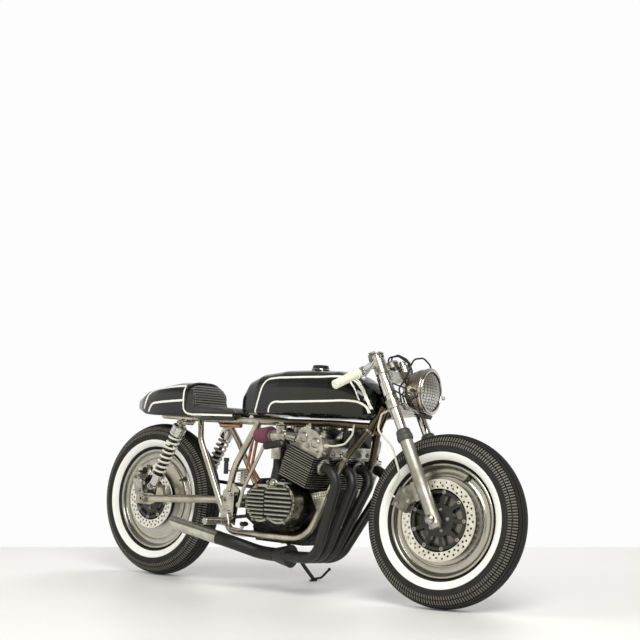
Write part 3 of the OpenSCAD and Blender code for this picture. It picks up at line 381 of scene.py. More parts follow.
# painted shade: dark on the floor between the ribs and on their rounded flanks
shade_between_ribs = add(tree, "MapRange", crown, 0.65, 0.2, 0.0, 1.0, **SOFT)[0]
painted_shade = add(tree, "Math", inside, shade_between_ribs, operation="MULTIPLY")[0]
haze = add(tree, "TexNoise", {"Vector": place, "Scale": 1000 / 22.2, "Detail": 5.0})["Fac"]
buffed = add(tree, "Mix", {"Factor": haze, "A": hue("#c9c6bb"), "B": hue("#918e83")}, **RGB)["Result"]
rib = add(tree, "Math", add(tree, "Math", crown, 0.0, operation="MAXIMUM")[0], inside, operation="MULTIPLY")[0]
feed(tree, shader, {
    "Base Color": add(tree, "Mix", {"Factor": painted_shade, "A": buffed, "B": hue("#141311")}, **RGB)["Result"],
    "Roughness": add(tree, "MapRange", painted_shade, 0.0, 1.0, 0.26, 0.55)[0],
    "Metallic": add(tree, "Math", 1.0, painted_shade, operation="SUBTRACT")[0],
    "Normal": add(tree, "Bump", {"Height": rib, "Strength": 0.8, "Distance": 0.004})["Normal"]})
dress(ribbed_cast, "clutch_cover")


# Bolts on the engine: bright cap screws round the covers and larger nuts on the cam boxes, all plated
# steel on washers. Each bore's nuts stand at the same places.
BORES = (-165, -55, 55, 165)
right, left = (0, -1, 0), (0, 1, 0)


def choose(piece, wanted, part="FACE"):
    """Selects the faces, edges or vertices of an open mesh that pass a test."""
    bpy.ops.mesh.select_mode(type=part)
    bpy.ops.mesh.select_all(action="DESELECT")
    mesh = bmesh.from_edit_mesh(piece.data)
    for item in {"FACE": mesh.faces, "EDGE": mesh.edges, "VERT": mesh.verts}[part]:
        if wanted(item):
            item.select_set(True)
    mesh.select_flush_mode()
    bmesh.update_edit_mesh(piece.data)


def screw(name, across, places, sides=6):
    """Screw heads standing on their places: a bevelled head with a sunk socket over a round washer."""
    bpy.ops.object.select_all(action="DESELECT")
    bpy.ops.mesh.primitive_cylinder_add(vertices=sides, radius=across / 2000, depth=across * 0.0006,
                                        location=(0, 0, across * 0.0003))
    piece = opened(name)
    bpy.ops.mesh.bevel(offset=across * 0.00006, segments=2)
    choose(piece, lambda f: f.normal.z > 0.95)
    bpy.ops.mesh.inset(thickness=across * 0.00018)
    bpy.ops.mesh.extrude_region_move(TRANSFORM_OT_translate={"value": (0, 0, -across * 0.0002)})
    bpy.ops.mesh.primitive_cylinder_add(vertices=16, radius=across * 0.00066, depth=across * 0.0002,
                                        location=(0, 0, across * 0.0001))
    bpy.ops.object.mode_set(mode="OBJECT")
    bpy.ops.object.transform_apply()
    return repeated(piece, places)


cover_screws = [facing(PARKED, (x, -224, z), right) for x, z in (
    (705, 330), (712, 390), (742, 287), (752, 416), (805, 290), (838, 432), (905, 283), (938, 322), (941, 388),
    (898, 428))]
cover_screws += [facing(PARKED, (862 + 78 * math.cos(a), 212, 357 + 78 * math.sin(a)), left)
                 for a in [math.radians(36 * i + 10) for i in range(10)]]
cover_screws += [facing(PARKED, (x, 104, z), left) for x, z in ((722, 296), (722, 412), (628, 320), (628, 386))]
cover_screws += [facing(PARKED, (x, -165, z), right)
                 for x, z in ((690, 290), (668, 378), (700, 418), (760, 434))]
settled(screw("cover_screws", 11, cover_screws), "chassis", "steel", steel)

head_nuts = [BARREL @ Matrix.Translation((f / 1000, y / 1000, 0.224)) for y in BORES for f in (-38, 40)]
head_nuts += [facing(BARREL, (f, side * 191.5, 152), (0, side, 0)) for side in SIDES for f in (-52, 0, 52)]
head_nuts += [facing(BARREL, (73.5, y, 150), (1, 0, 0)) for y in range(-165, 166, 55)]
settled(screw("head_nuts", 15, head_nuts), "chassis", "polished_alloy", bright_cast)

cam_cap = turned("cam_end_caps", [(0, 7), (10, 7), (17, 5), (20, 2), (20, -1), (0, -1)], 40)
settled(repeated(cam_cap, [facing(BARREL, (f, side * 192, 178), (0, side, 0), "Y")
                           for f in (-30, 34) for side in SIDES]), "chassis", "polished_alloy", bright_cast)

boss = turned("clutch_boss_bolt", [(0, 16), (9, 16), (12, 13), (12, 5), (17, 5), (19, 3), (19, -1),
                                   (0, -1)], 40)
settled(repeated(boss, [facing(PARKED, (838, -220, 432), right, "Y"),
                        facing(PARKED, (862, 232, 357), left, "Y")]), "chassis", "polished_alloy", bright_cast)


# Carburettor trim: a turned cap on each slide, of the same polished alloy as the bodies, and a steel band
# that clamps each filter's neck.
slide_top = turned("carburettor_tops", [(0, 9), (9, 9), (12, 7), (12, 3), (21, 1), (24, -1), (24, -4),
                                        (0, -4)], 36)
settled(repeated(slide_top, [facing(PARKED, (815, y, 667), (0, 0, 1), "Y") for y in BORES]),
        "chassis", "polished_alloy", bright_cast)
hose_band = turned("filter_bands", [(27.2, -5), (28.6, -5), (28.6, -2), (28, 0), (28.6, 2), (28.6, 5),
                                    (27.2, 5), (27.2, -5)], 40)
settled(repeated(hose_band, [facing(PARKED, (771, y, 620), (1, 0, 0), "Y") for y in BORES]),
        "chassis", "steel", steel)


# Cone filters: oiled cotton gauze in maroon, pleated lengthwise between two end caps and pushed over the
# carburettors' mouths.
PLEATS = 30


def coated(name, light, dark, rough, patch_mm, grain_mm, bump_mm=0.02):
    """Paint, rubber, cloth or plastic: a slightly uneven colour over a fine grain."""
    material, tree, shader, place = fresh(name)
    cloud = add(tree, "TexNoise", {"Vector": place, "Scale": 1000 / patch_mm, "Detail": 5.0})["Fac"]
    grain = add(tree, "TexNoise", {"Vector": place, "Scale": 1000 / grain_mm, "Detail": 3.0})["Fac"]
    feed(tree, shader, {
        "Base Color": add(tree, "Mix", {"Factor": cloud, "A": hue(dark), "B": hue(light)}, **RGB)["Result"],
        "Roughness": add(tree, "MapRange", cloud, 0.3, 0.7, rough * 0.8, rough * 1.25)[0],
        "Normal": add(tree, "Bump", {"Height": grain, "Strength": 0.5, "Distance": bump_mm / 1000})["Normal"]})
    return material


def fluted(piece, count, beyond, slope, depth):
    """Sinks every other face round the rim of a turned shape, past a radius and near enough upright."""
    def on_rim(face):
        at = face.calc_center_median()
        turn = int((math.atan2(at.z, at.x) + math.pi) / (2 * math.pi) * count * 2)
        return math.hypot(at.x, at.z) > beyond and abs(face.normal.y) < slope and turn % 2 == 0

    choose(piece, on_rim)
    bpy.ops.mesh.extrude_region_shrink_fatten(TRANSFORM_OT_shrink_fatten={"value": -depth})
    return piece


# oiled gauze: dull and dark red, with the cloth's coarse grain
dress(coated("oiled_filter_gauze", "#7d4656", "#54293a", 0.75, 9, 1.5, 0.4), "air_filters")
# painted light: the folds are coloured a little paler than the gauze, as if they stood in the light
pleat_red_painted_light = coated("filter_pleats", "#8a5060", "#5a2d3c", 0.7, 6, 1.2, 0.3)
cone = turned("filter_pleats", [(37.6, 70), (37.2, 66), (28.6, 4), (26, 0.5), (26, 70), (37.6, 70)], PLEATS * 2)
fluted(cone, PLEATS, 0.0285, 0.5, 0.0022)
settled(repeated(cone, [facing(PARKED, (692, y, 618), (1, 0, 0.027), "Y") for y in BORES]),
        "chassis", "maroon_filter", pleat_red_painted_light)


# Exhaust: mild steel pipe in satin black stove enamel with a polished slash-cut tip of stainless steel.
# A cast flange clamps each pipe to its port.
# stove enamel: black with a broad soft shine, next to a tip like a mirror
dress(coated("satin_stove_enamel", "#191816", "#0d0c0b", 0.44, 45, 0.8), "exhaust_headers")
dress(worn_metal("polished_stainless", "#d0cec6", "#aba89f", 0.16, 35, 1.0), "exhaust_tip")
flange = turned("exhaust_flanges", [(20.4, -4), (31, -4), (33, -2), (33, 3), (31, 5), (24, 7), (20.4, 7),
                                    (20.4, -4)], 40)
settled(repeated(flange, [facing(BARREL, (90, y, 100), (1, 0, 0), "Y") for y in BORES]),
        "chassis", "dark_steel", fin_black)


# Tank and tail cowl: pressed sheet metal in deep gloss black with a green cast, under clear lacquer.
# The cowl's mouth is cut back to the bolster, 0.1 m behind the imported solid's, down to the tray.
MOUTH, TRAY_TOP = 0.224, 0.7036

# lacquer: a sharp mirror over near black, with an orange peel of about 4 mm
paint, tree, shader, place = fresh("gloss_black_lacquer")
depth = add(tree, "TexNoise", {"Vector": place, "Scale": 1000 / 111, "Detail": 3.0})["Fac"]
peel = add(tree, "TexNoise", {"Vector": place, "Scale": 1000 / 4, "Detail": 1.0})["Fac"]
feed(tree, shader, {
    "Base Color": add(tree, "Mix", {"Factor": depth, "A": hue("#070907"), "B": hue("#12170f")},
                      **RGB)["Result"],
    "Normal": add(tree, "Bump", {"Height": peel, "Strength": 0.12, "Distance": 0.00003})["Normal"],
    "Roughness": 0.12, "Specular IOR Level": 0.0, "Coat Weight": 1.0, "Coat Roughness": 0.03})
dress(paint, "tank")


def copied(node, name):
    """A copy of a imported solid's mesh, merged and selected, as the start of a dressed piece."""
    piece = bpy.data.objects.new(name, nodes[node].data.copy())
    piece.data.materials.clear()
    bpy.context.collection.objects.link(piece)
    bpy.ops.object.select_all(action="DESELECT")
    piece.select_set(True)
    bpy.context.view_layer.objects.active = piece
    opened(name)
    bpy.ops.mesh.remove_doubles(threshold=0.00002)
    return piece


def cut_away(piece, cutter):
    """Takes one closed mesh out of another."""
    cut = piece.modifiers.new("cut", "BOOLEAN")
    cut.operation = "DIFFERENCE"
    cut.object = cutter
    cut.solver = "EXACT"
    bpy.context.view_layer.objects.active = piece
    bpy.ops.object.modifier_apply(modifier="cut")
    bpy.data.objects.remove(cutter)


cowl = copied("tail_cowl", "tail_cowl_sheet")
bpy.ops.object.mode_set(mode="OBJECT")
bpy.ops.object.select_all(action="DESELECT")
bpy.ops.mesh.primitive_cube_add(size=1, scale=(0.12, 0.28, 0.2), location=(MOUTH + 0.06, 0, TRAY_TOP + 0.1))
cutter = bpy.context.object
bpy.ops.object.transform_apply()
cutter.data.transform(PARKED)
cut_away(cowl, cutter)
settled(cowl, "chassis", "tank_black", paint, stands_for=("tail_cowl",), sharp=30)


# Pinstripes: cream enamel brushed on by hand, thick enough to feel. Each line is a narrow ribbon laid on
# the painted sheet, on both sides alike, and the badge's place above the lower line stays bare.
cream = coated("cream_enamel", "#fbf9f2", "#efece0", 0.22, 30, 2.0)
STRIPES = (
    # name, sheet, width in mm, line as x and z in mm
    ("tank_panel_stripe", "tank", 8, (
        (619, 706), (634, 750), (648, 796), (659, 831), (674, 847), (704, 853), (800, 857), (950, 860),
        (1050, 862), (1092, 853), (1139, 818), (1170, 774), (1186, 738))),
    ("tank_lower_stripe", "tank", 8, (
        (700, 714), (706, 736), (722, 752), (780, 757), (875, 760), (1000, 764), (1110, 767), (1148, 761),
        (1172, 744), (1181, 722))),
    ("tank_front_stripe", "tank", 4.5, ((1086, 846), (1122, 810), (1146, 770))),
    ("tail_panel_stripe", "tail_cowl", 9, (
        (-54, 716), (-38, 756), (-26, 782), (-4, 798), (63, 809), (130, 815), (200, 819))),
    ("tail_upright_stripe", "tail_cowl", 8, (
        (203, 816), (208, 780), (210, 745), (213, 722), (226, 706), (254, 698), (300, 697), (380, 697),
        (440, 697), (498, 697))),
    ("tail_lower_stripe", "tail_cowl", 9, (
        (-18, 704), (-4, 728), (10, 739), (47, 745), (125, 751), (208, 756))),
)
# the ribbon starts this far aside and is laid on from there; what misses the sheet stays out there
START_ASIDE, MISSED = 0.2, 0.18
for name, sheet, width, line in STRIPES:
    pair = []
    for side in SIDES:
        curve = bpy.data.curves.new(name, "CURVE")
        curve.dimensions = "3D"
        curve.twist_mode = "Z_UP"
        curve.extrude = width / 2000
        curve.resolution_u = 10
        spline = curve.splines.new("BEZIER")
        spline.bezier_points.add(len(line) - 1)
        for point, (x, z) in zip(spline.bezier_points, line):
            point.co = (x / 1000, side * START_ASIDE, z / 1000)
            point.handle_left_type = point.handle_right_type = "AUTO"
        ribbon = bpy.data.objects.new(name, curve)
        bpy.context.collection.objects.link(ribbon)
        bpy.ops.object.select_all(action="DESELECT")
        ribbon.select_set(True)
        bpy.context.view_layer.objects.active = ribbon
        bpy.ops.object.convert(target="MESH")
        ribbon.matrix_world = PARKED
        wrap = ribbon.modifiers.new("laid_on", "SHRINKWRAP")
        wrap.target = nodes[sheet]
        wrap.wrap_method = "PROJECT"
        wrap.use_project_y = True
        wrap.use_positive_direction = side < 0
        wrap.use_negative_direction = side > 0
        wrap.offset = 0.0003
        bpy.ops.object.modifier_apply(modifier="laid_on")
        opened(name)
        choose(ribbon, lambda v: abs(v.co.y) > MISSED, "VERT")
        bpy.ops.mesh.delete(type="VERT")
        bpy.ops.mesh.select_all(action="SELECT")
        bpy.ops.mesh.normals_make_consistent(inside=False)
        mesh = bmesh.from_edit_mesh(ribbon.data)
        if sum(f.normal.y for f in mesh.faces) * side < 0:
            bpy.ops.mesh.flip_normals()
        bpy.ops.object.mode_set(mode="OBJECT")
        bpy.ops.object.transform_apply()
        thick = ribbon.modifiers.new("paint", "SOLIDIFY")
        thick.thickness = 0.0006
        thick.offset = 1
        bpy.ops.object.modifier_apply(modifier="paint")
        pair.append(ribbon)
    bpy.ops.object.select_all(action="DESELECT")
    for ribbon in pair:
        ribbon.select_set(True)
    bpy.context.view_layer.objects.active = pair[0]
    bpy.ops.object.join()
    pair[0].name = name
    settled(pair[0], "chassis", "pale_rubber", cream)


# Filler cap: a black lid with finger flutes, screwed down on a chromed neck ring. Its enamel also covers
# the coil box, the side stand and the lamp's bracket.
# enamel: black, with a softer shine than the tank's
black_metal = coated("black_enamel", "#232220", "#131311", 0.28, 30, 1.0)
dress(black_metal, "filler_cap", "coil_box", "side_stand", "lamp_bracket")
# chrome: a clean mirror with hardly a mark on it
chrome = worn_metal("chrome_plate", "#dedcd8", "#c4c2bd", 0.07, 40, 1.0, 0.004)
neck = bead("filler_neck_ring", 35.6, 0, 2.2, 64)
settled(repeated(neck, [facing(PARKED, (865, 0, 896), (0, 0, 1), "Y")]), "chassis", "chrome_trim", chrome)
FLUTES = 24
lid = turned("filler_lid", [(0, 11.5), (24, 11.5), (30, 10.4), (32, 8), (32, 0), (29, -0.5), (0, -0.5)],
             FLUTES * 2)
fluted(lid, FLUTES, 0.031, 0.3, 0.0016)
settled(repeated(lid, [facing(PARKED, (865, 0, 902), (0, 0, 1), "Y")]), "chassis", "black_plastic", black_metal)


# Seat: black leather over foam, a thin pad that turns up into a tuck-and-roll bolster against the tail.
# The pad is blown up with Cloth pressure, and the sewn rolls are pressed into the bolster's face.
VOXEL, SWELL, SEWN_DEPTH, BORDER_DEPTH, BORDER = 0.0042, 0.005, 0.0055, 0.0028, 0.003
ROLLS, ROLL_LOW, ROLL_HIGH, ROLL_HALF = 8, 0.738, 0.824, 0.097
# the bolster's face is set upright: height, where its face stands in the moved solid, and where it belongs
FACE = ((0.733, 0.297, 0.264), (0.748, 0.274, 0.260), (0.790, 0.256, 0.256), (0.820, 0.240, 0.247))
SOLID_MOUTH, MOVED_TO, PAD_AHEAD, PAD_FOOT = 0.322, 0.42, 0.44, 0.7065

# leather: pebbled every 2.4 mm or so, drawn that coarse so that it shows, and creased
leather, tree, shader, place = fresh("black_leather")
pebble = add(tree, "TexVoronoi", {"Vector": place, "Scale": 1000 / 2.4}, feature="SMOOTH_F1")["Distance"]
crease = add(tree, "TexNoise", {"Vector": place, "Scale": 1000 / 16.7, "Detail": 6.0})["Fac"]
tone = add(tree, "Mix", {"Factor": crease, "A": hue("#171614"), "B": hue("#2f2d29")}, **RGB)["Result"]
height = add(tree, "Math", pebble, 0.5, crease, operation="MULTIPLY_ADD")[0]
# a painted highlight pales the crown of each roll, and painted shade keeps the sewn grooves black
spot = own_place(tree, place, PARKED)
on_face = add(tree, "Math", spot["X"], MOUTH + 0.004, operation="GREATER_THAN")[0]
for axis, middle, half in (
    ("Y", 0.0, ROLL_HALF),
    ("Z", (ROLL_LOW + ROLL_HIGH) / 2, (ROLL_HIGH - ROLL_LOW) / 2),
):
    within = add(tree, "Math", spot[axis], middle, half, operation="COMPARE")[0]
    on_face = add(tree, "Math", on_face, within, operation="MULTIPLY")[0]
above = add(tree, "Math", spot["Z"], ROLL_LOW, operation="SUBTRACT")[0]
turn = add(tree, "Math", above, math.pi * ROLLS / (ROLL_HIGH - ROLL_LOW), operation="MULTIPLY")[0]
crown = add(tree, "Math", add(tree, "Math", turn, operation="SINE")[0], operation="ABSOLUTE")[0]
# painted highlight on the roll crowns and painted shade in the sewn grooves
painted_crown_highlight, painted_seam_shade = [add(tree, "Math", on_face, add(tree, "MapRange", crown, start, end, 0.0, 1.0, **SOFT)[0],
                    operation="MULTIPLY")[0] for start, end in ((0.6, 1.0), (0.5, 0.15))]
seam_shaded_tone = add(tree, "Mix", {"Factor": painted_seam_shade, "A": tone, "B": hue("#060605")}, **RGB)["Result"]
feed(tree, shader, {
    "Base Color": add(tree, "Mix", {"Factor": painted_crown_highlight, "A": seam_shaded_tone, "B": hue("#6a6862")}, **RGB)["Result"],
    "Roughness": add(tree, "MapRange", crease, 0.3, 0.7, 0.30, 0.5)[0],
    "Normal": add(tree, "Bump", {"Height": height, "Strength": 0.35, "Distance": 0.0006})["Normal"],
    "Sheen Weight": 0.15})

pad = copied("seat", "seat_pad")
back_to_bike = PARKED.inverted()
choose(pad, lambda v: (back_to_bike @ v.co).x < MOVED_TO, "VERT")
bpy.ops.transform.translate(value=(MOUTH - SOLID_MOUTH, 0, 0))
bpy.ops.object.mode_set(mode="OBJECT")
for vertex in pad.data.vertices:
    spot = back_to_bike @ vertex.co
    if not MOUTH < spot.x < PAD_AHEAD:
        continue
    level = min(max(spot.z, FACE[0][0]), FACE[-1][0])
    for (z0, old0, new0), (z1, old1, new1) in zip(FACE, FACE[1:]):
        if level <= z1:
            share = (level - z0) / (z1 - z0)
            old, new = old0 + (old1 - old0) * share, new0 + (new1 - new0) * share
            break
    if spot.x <= old:
        spot.x = MOUTH + (spot.x - MOUTH) * (new - MOUTH) / (old - MOUTH)
    else:
        spot.x = new + (spot.x - old) * (PAD_AHEAD - new) / (PAD_AHEAD - old)
    vertex.co = PARKED @ spot
pad.data.remesh_voxel_size = VOXEL
bpy.ops.object.voxel_remesh()
for i in range(3):
    bpy.ops.object.mode_set(mode="EDIT")
    bpy.ops.mesh.select_all(action="SELECT")
    bpy.ops.mesh.vertices_smooth(factor=0.5)
    bpy.ops.object.mode_set(mode="OBJECT")
before = [v.co.copy() for v in pad.data.vertices]
held = pad.vertex_groups.new(name="held")
held.add([v.index for v in pad.data.vertices if (back_to_bike @ v.co).z < PAD_FOOT
          or (back_to_bike @ v.co).x < MOUTH - 0.0005], 1.0, "REPLACE")
cloth = pad.modifiers.new("filling", "CLOTH")
cloth.settings.vertex_group_mass = "held"
cloth.settings.use_pressure = True
cloth.settings.uniform_pressure_force = 4
cloth.settings.effector_weights.gravity = 0
cloth.settings.quality = 6
for step in range(1, 21):
    bpy.context.scene.frame_set(step)
blown = pad.evaluated_get(bpy.context.evaluated_depsgraph_get()).to_mesh()
after = [v.co.copy() for v in blown.vertices]
pad.modifiers.remove(cloth)
for vertex, old, new in zip(pad.data.vertices, before, after):
    shift = new - old
    vertex.co = old + shift * min(1.0, SWELL / max(shift.length, 1e-9))
bpy.context.scene.frame_set(1)
soft = pad.modifiers.new("soft", "SUBSURF")
soft.levels = soft.render_levels = 1
bpy.ops.object.modifier_apply(modifier="soft")
normals = [v.normal.copy() for v in pad.data.vertices]
for vertex, normal in zip(pad.data.vertices, normals):
    spot = back_to_bike @ vertex.co
    out = back_to_bike.to_3x3() @ normal
    if out.x < 0.15 or spot.z < ROLL_LOW or spot.z > ROLL_HIGH + 0.004:
        continue
    border = abs(abs(spot.y) - ROLL_HALF)
    if border < BORDER:
        vertex.co -= normal * BORDER_DEPTH * (1 - border / BORDER)
    elif abs(spot.y) < ROLL_HALF:
        roll = (spot.z - ROLL_LOW) / (ROLL_HIGH - ROLL_LOW) * ROLLS
        vertex.co -= normal * SEWN_DEPTH * (1 - abs(math.sin(math.pi * roll))) ** 2
settled(pad, "chassis", "black_leather", leather, stands_for=("seat",), sharp=80)


# Tail lamp: a small round lens of moulded red plastic in a chromed rim, let into the tip of the cowl.
# The plastic is smooth and dark, with a little brighter red in its clouds.
red_plastic = ("#8c1411", "#5c0a09", 0.1, 20, 1.0)
dress(coated("red_lamp_plastic", *red_plastic), "tail_lamp")
rim = bead("tail_lamp_rim", 10.4, 0, 1.3, 40, 8)
settled(repeated(rim, [facing(PARKED, (-124.5, 0, 734), (-1, 0, 0), "Y")]), "chassis", "chrome_trim", chrome)


# Shock absorbers: chromed dampers, coloured black inside the coils as painted shade, with rings at each spring
# seat, in coil springs of wound wire in pale enamel. Bolts through rubber eyes hold them.
dress(chrome, "fork_tubes", "levers")
LOW_EYE, TOP_EYE, SHOCK_Y = Vector((92, 0, 386)), Vector((248, 0, 661)), 152
SPRING_FROM, SPRING_ENDS = 66, 132
COILS, COIL_R, WIRE_R = 8, 0.024, 0.0046
COIL_SHADE_FROM, COIL_SHADE_TO = 0.063, 0.254
spring_way = (TOP_EYE - LOW_EYE).normalized()
damper, tree, shader, place = fresh("chrome_damper_painted_coil_shade")
spot = own_place(tree, place, PARKED)
rise = add(tree, "Math", spot["Z"], spring_way.z, -LOW_EYE.dot(spring_way) / 1000, operation="MULTIPLY_ADD")[0]
along = add(tree, "Math", spot["X"], spring_way.x, rise, operation="MULTIPLY_ADD")[0]
# painted shade: the damper is coloured black where the coils surround it
coil_shade = add(tree, "Math", along, (COIL_SHADE_FROM + COIL_SHADE_TO) / 2, (COIL_SHADE_TO - COIL_SHADE_FROM) / 2,
             operation="COMPARE")[0]
grime = add(tree, "TexNoise", {"Vector": place, "Scale": 1000 / 25, "Detail": 4.0})["Fac"]
plated = add(tree, "Mix", {"Factor": grime, "A": hue("#dedcd8"), "B": hue("#bab8b2")}, **RGB)["Result"]
feed(tree, shader, {
    "Base Color": add(tree, "Mix", {"Factor": coil_shade, "A": plated, "B": hue("#121110")}, **RGB)["Result"],
    "Metallic": add(tree, "Math", 1.0, coil_shade, operation="SUBTRACT")[0],
    "Roughness": add(tree, "MapRange", coil_shade, 0.0, 1.0, 0.1, 0.4)[0]})
dress(damper, "shocks")
bpy.ops.object.select_all(action="DESELECT")
bpy.ops.mesh.primitive_circle_add(vertices=10, radius=WIRE_R, location=(COIL_R, 0, 0),
                                  rotation=(math.radians(90), 0, 0))
coil = bpy.context.object
coil.name = "spring_coils"
bpy.ops.object.transform_apply()
winding = coil.modifiers.new("winding", "SCREW")
winding.angle = 2 * math.pi
winding.screw_offset = ((TOP_EYE - LOW_EYE).length - SPRING_ENDS) / 1000 / COILS
winding.iterations = COILS
winding.steps = winding.render_steps = 28
bpy.ops.object.modifier_apply(modifier="winding")
opened("spring_coils")
bpy.ops.mesh.remove_doubles(threshold=0.00001)
choose(coil, lambda e: e.is_boundary, "EDGE")
bpy.ops.mesh.edge_face_add()
bpy.ops.mesh.select_all(action="SELECT")
bpy.ops.mesh.normals_make_consistent(inside=False)
spring_seat = LOW_EYE + spring_way * SPRING_FROM
# enamel: nearly white and glossy, a little yellowed in patches
pale_enamel = coated("pale_spring_enamel", "#ece9dd", "#d2cdbb", 0.28, 30, 1.0)
settled(repeated(coil, [facing(PARKED, (spring_seat.x, side * SHOCK_Y, spring_seat.z), spring_way)
                        for side in SIDES]),
        "chassis", "pale_rubber", pale_enamel, stands_for=("springs",), sharp=60)

collar = turned("shock_collars", [(17.2, -4), (29, -4), (31, -2.5), (31, 2.5), (29, 4), (17.2, 4),
                                 (17.2, -4)], 48)
seats = [LOW_EYE + spring_way * along for along in (60, 262, 276, 290)]
settled(repeated(collar, [facing(PARKED, (at.x, side * SHOCK_Y, at.z), spring_way, "Y")
                          for side in SIDES for at in seats]), "chassis", "chrome_trim", chrome)
eye_bolts = [facing(PARKED, (eye.x, side * (SHOCK_Y + 14), eye.z), (0, side, 0))
             for eye in (LOW_EYE, TOP_EYE) for side in SIDES]
settled(screw("shock_eye_bolts", 20, eye_bolts), "chassis", "steel", steel)


# Kick starter and foot controls: forged arms bolted to hangers, with pegs turned in rings for grip. The
# pedals have black rubber sleeves, moulded with ribs and pushed on.
dress(bright_cast, "foot_controls", "mesh_plate", "fork_clamps", "clip_ons")
dress(nickel, "kick_starter")
# moulded rubber: nearly black and dull, with a fine grain
soft_black = coated("black_rubber", "#2a2927", "#171615", 0.55, 14, 1.2, 0.06)


def sleeve(name, base, start, end, radius, pitch, body, slot, material, lip=0):
    """A ribbed sleeve over a round peg, drawn from rib to rib and closed at its outer end."""
    start, end = Vector(start), Vector(end)
    length = (end - start).length
    outline = [(radius - 2.4, 0), (radius + lip, 0), (radius + lip, 5)]
    for i in range(int((length - 8) / pitch)):
        outline += [(radius - 1.1, 6 + i * pitch), (radius - 1.1, 6 + (i + 0.35) * pitch),
                    (radius, 6 + (i + 0.45) * pitch), (radius, 6 + (i + 0.95) * pitch)]
    outline += [(radius, length - 2), (radius - 2, length), (0, length)]
    shape = turned(name, outline, 32)
    return settled(repeated(shape, [facing(base, start, end - start, "Y")]), body, slot, material)


sleeve("kick_pedal_rubber", PARKED, (806, -246, 577.5), (888, -246, 590.8), 15.4, 8, "chassis", "black_rubber",
       soft_black)
for side, hand in zip(SIDES, ("right", "left")):
    sleeve(hand + "_footpeg_knurl", PARKED, (515, side * 172, 264), (515, side * 264, 264), 14.6, 5, "chassis",
           "bare_alloy", bright_cast)
    sleeve(hand + "_pedal_rubber", PARKED, (668, side * 182, 262), (668, side * 213, 262), 9.2, 5, "chassis",
           "black_rubber", soft_black)
hanger_bolts = [facing(PARKED, (x, side * 160, z), (0, side, 0)) for side in SIDES
                for x, z in ((557, 288), (557, 372), (520, 352))]
settled(screw("hanger_bolts", 14, hanger_bolts), "chassis", "steel", steel)


# Pipes, ducts and leads: drawn copper oil lines and bar, a black moulded rubber duct, and pale sleeves on
# the plug lead and brake hose. A small black fluid pot hangs on a peg from the frame's rear tube.
# copper: pink where it is rubbed and browner in patches
copper = worn_metal("drawn_copper", "#cf9d82", "#a66f53", 0.3, 30, 1.0)
dress(copper, "copper_lines", "copper_bar")
dress(soft_black, "rubber_duct", "control_cables")
# sleeve: ivory, with a little gloss
pale_lead = coated("pale_lead_sleeve", "#e4dfcd", "#cbc5b0", 0.35, 25, 1.0)
dress(pale_lead, "plug_lead", "brake_hose")
pot = turned("fluid_pot", [(0, 0), (8.5, 0), (9.5, 1), (9.5, 44), (8, 48), (8, 50), (11.5, 50), (11.5, 64),
                           (10, 66), (0, 66)], 32)
settled(repeated(pot, [facing(PARKED, (514, -152, 456), (0, 0, 1), "Y")]), "chassis", "black_rubber",
        soft_black)
peg = turned("fluid_pot_peg", [(0, 0), (3.5, 0), (3.5, 16), (5.5, 16), (5.5, 19), (0, 19)], 20)
settled(repeated(peg, [facing(PARKED, (529, -143, 470), (-15, -9, 0), "Y")]), "chassis", "steel", steel)


# Drive chain and sprocket: stamped steel links on hardened pins, and a toothed steel wheel bolted to the
# rear hub. Chain oil makes both dark, with patches worn bright.
oiled = worn_metal("oiled_chain_steel", "#5f5c55", "#34322e", 0.4, 9, 1.0)
dress(oiled, "drive_chain", "rear_sprocket")


# Rear caliper: a cast body in clear anodised aluminium with two round piston caps, bolted to a bracket
# that turns on the axle.
dress(bright_cast, "rear_caliper")
piston_cap = turned("rear_piston_caps", [(0, 4), (11, 4), (14, 2.5), (15, 0), (15, -1), (0, -1)], 36)
settled(repeated(piston_cap, [facing(PARKED, (x, -94, z), right, "Y") for x, z in ((-46, 434), (-20, 448))]),
        "chassis", "case_grey", case_grey)
caliper_bolts = [facing(PARKED, (x, -119, z), right) for x, z in ((-52, 418), (-32, 424), (-20, 362))]
settled(screw("rear_caliper_bolts", 13, caliper_bolts), "chassis", "steel", steel)


# Fork: chromed tubes in brushed aluminium legs, with dark rubber seals that round off each leg's top.
# Clamps with pinch bolts hold the tubes, and caps and a stem nut close them above.
WHEELBASE, AXLE_Z, OFFSET = 1.507, 0.328, 0.05
RAKE, STEERED = math.radians(26.5), math.radians(8)
FORK = (PARKED @ Matrix.Translation((WHEELBASE, 0, AXLE_Z)) @ Matrix.Rotation(-RAKE, 4, "Y")
        @ Matrix.Translation((-OFFSET, 0, 0)) @ Matrix.Rotation(STEERED, 4, "Z")
        @ Matrix.Translation((OFFSET, 0, 0)))
FORK_HALF = 100
tube_axes = [facing(FORK, (0, side * FORK_HALF, 0), (0, 0, 1), "Y") for side in SIDES]
# brushed legs: a soft even sheen with no mirror in it
satin = worn_metal("satin_aluminium", "#b3b0a7", "#98958c", 0.46, 60, 1.0)
dress(satin, "fork_legs")
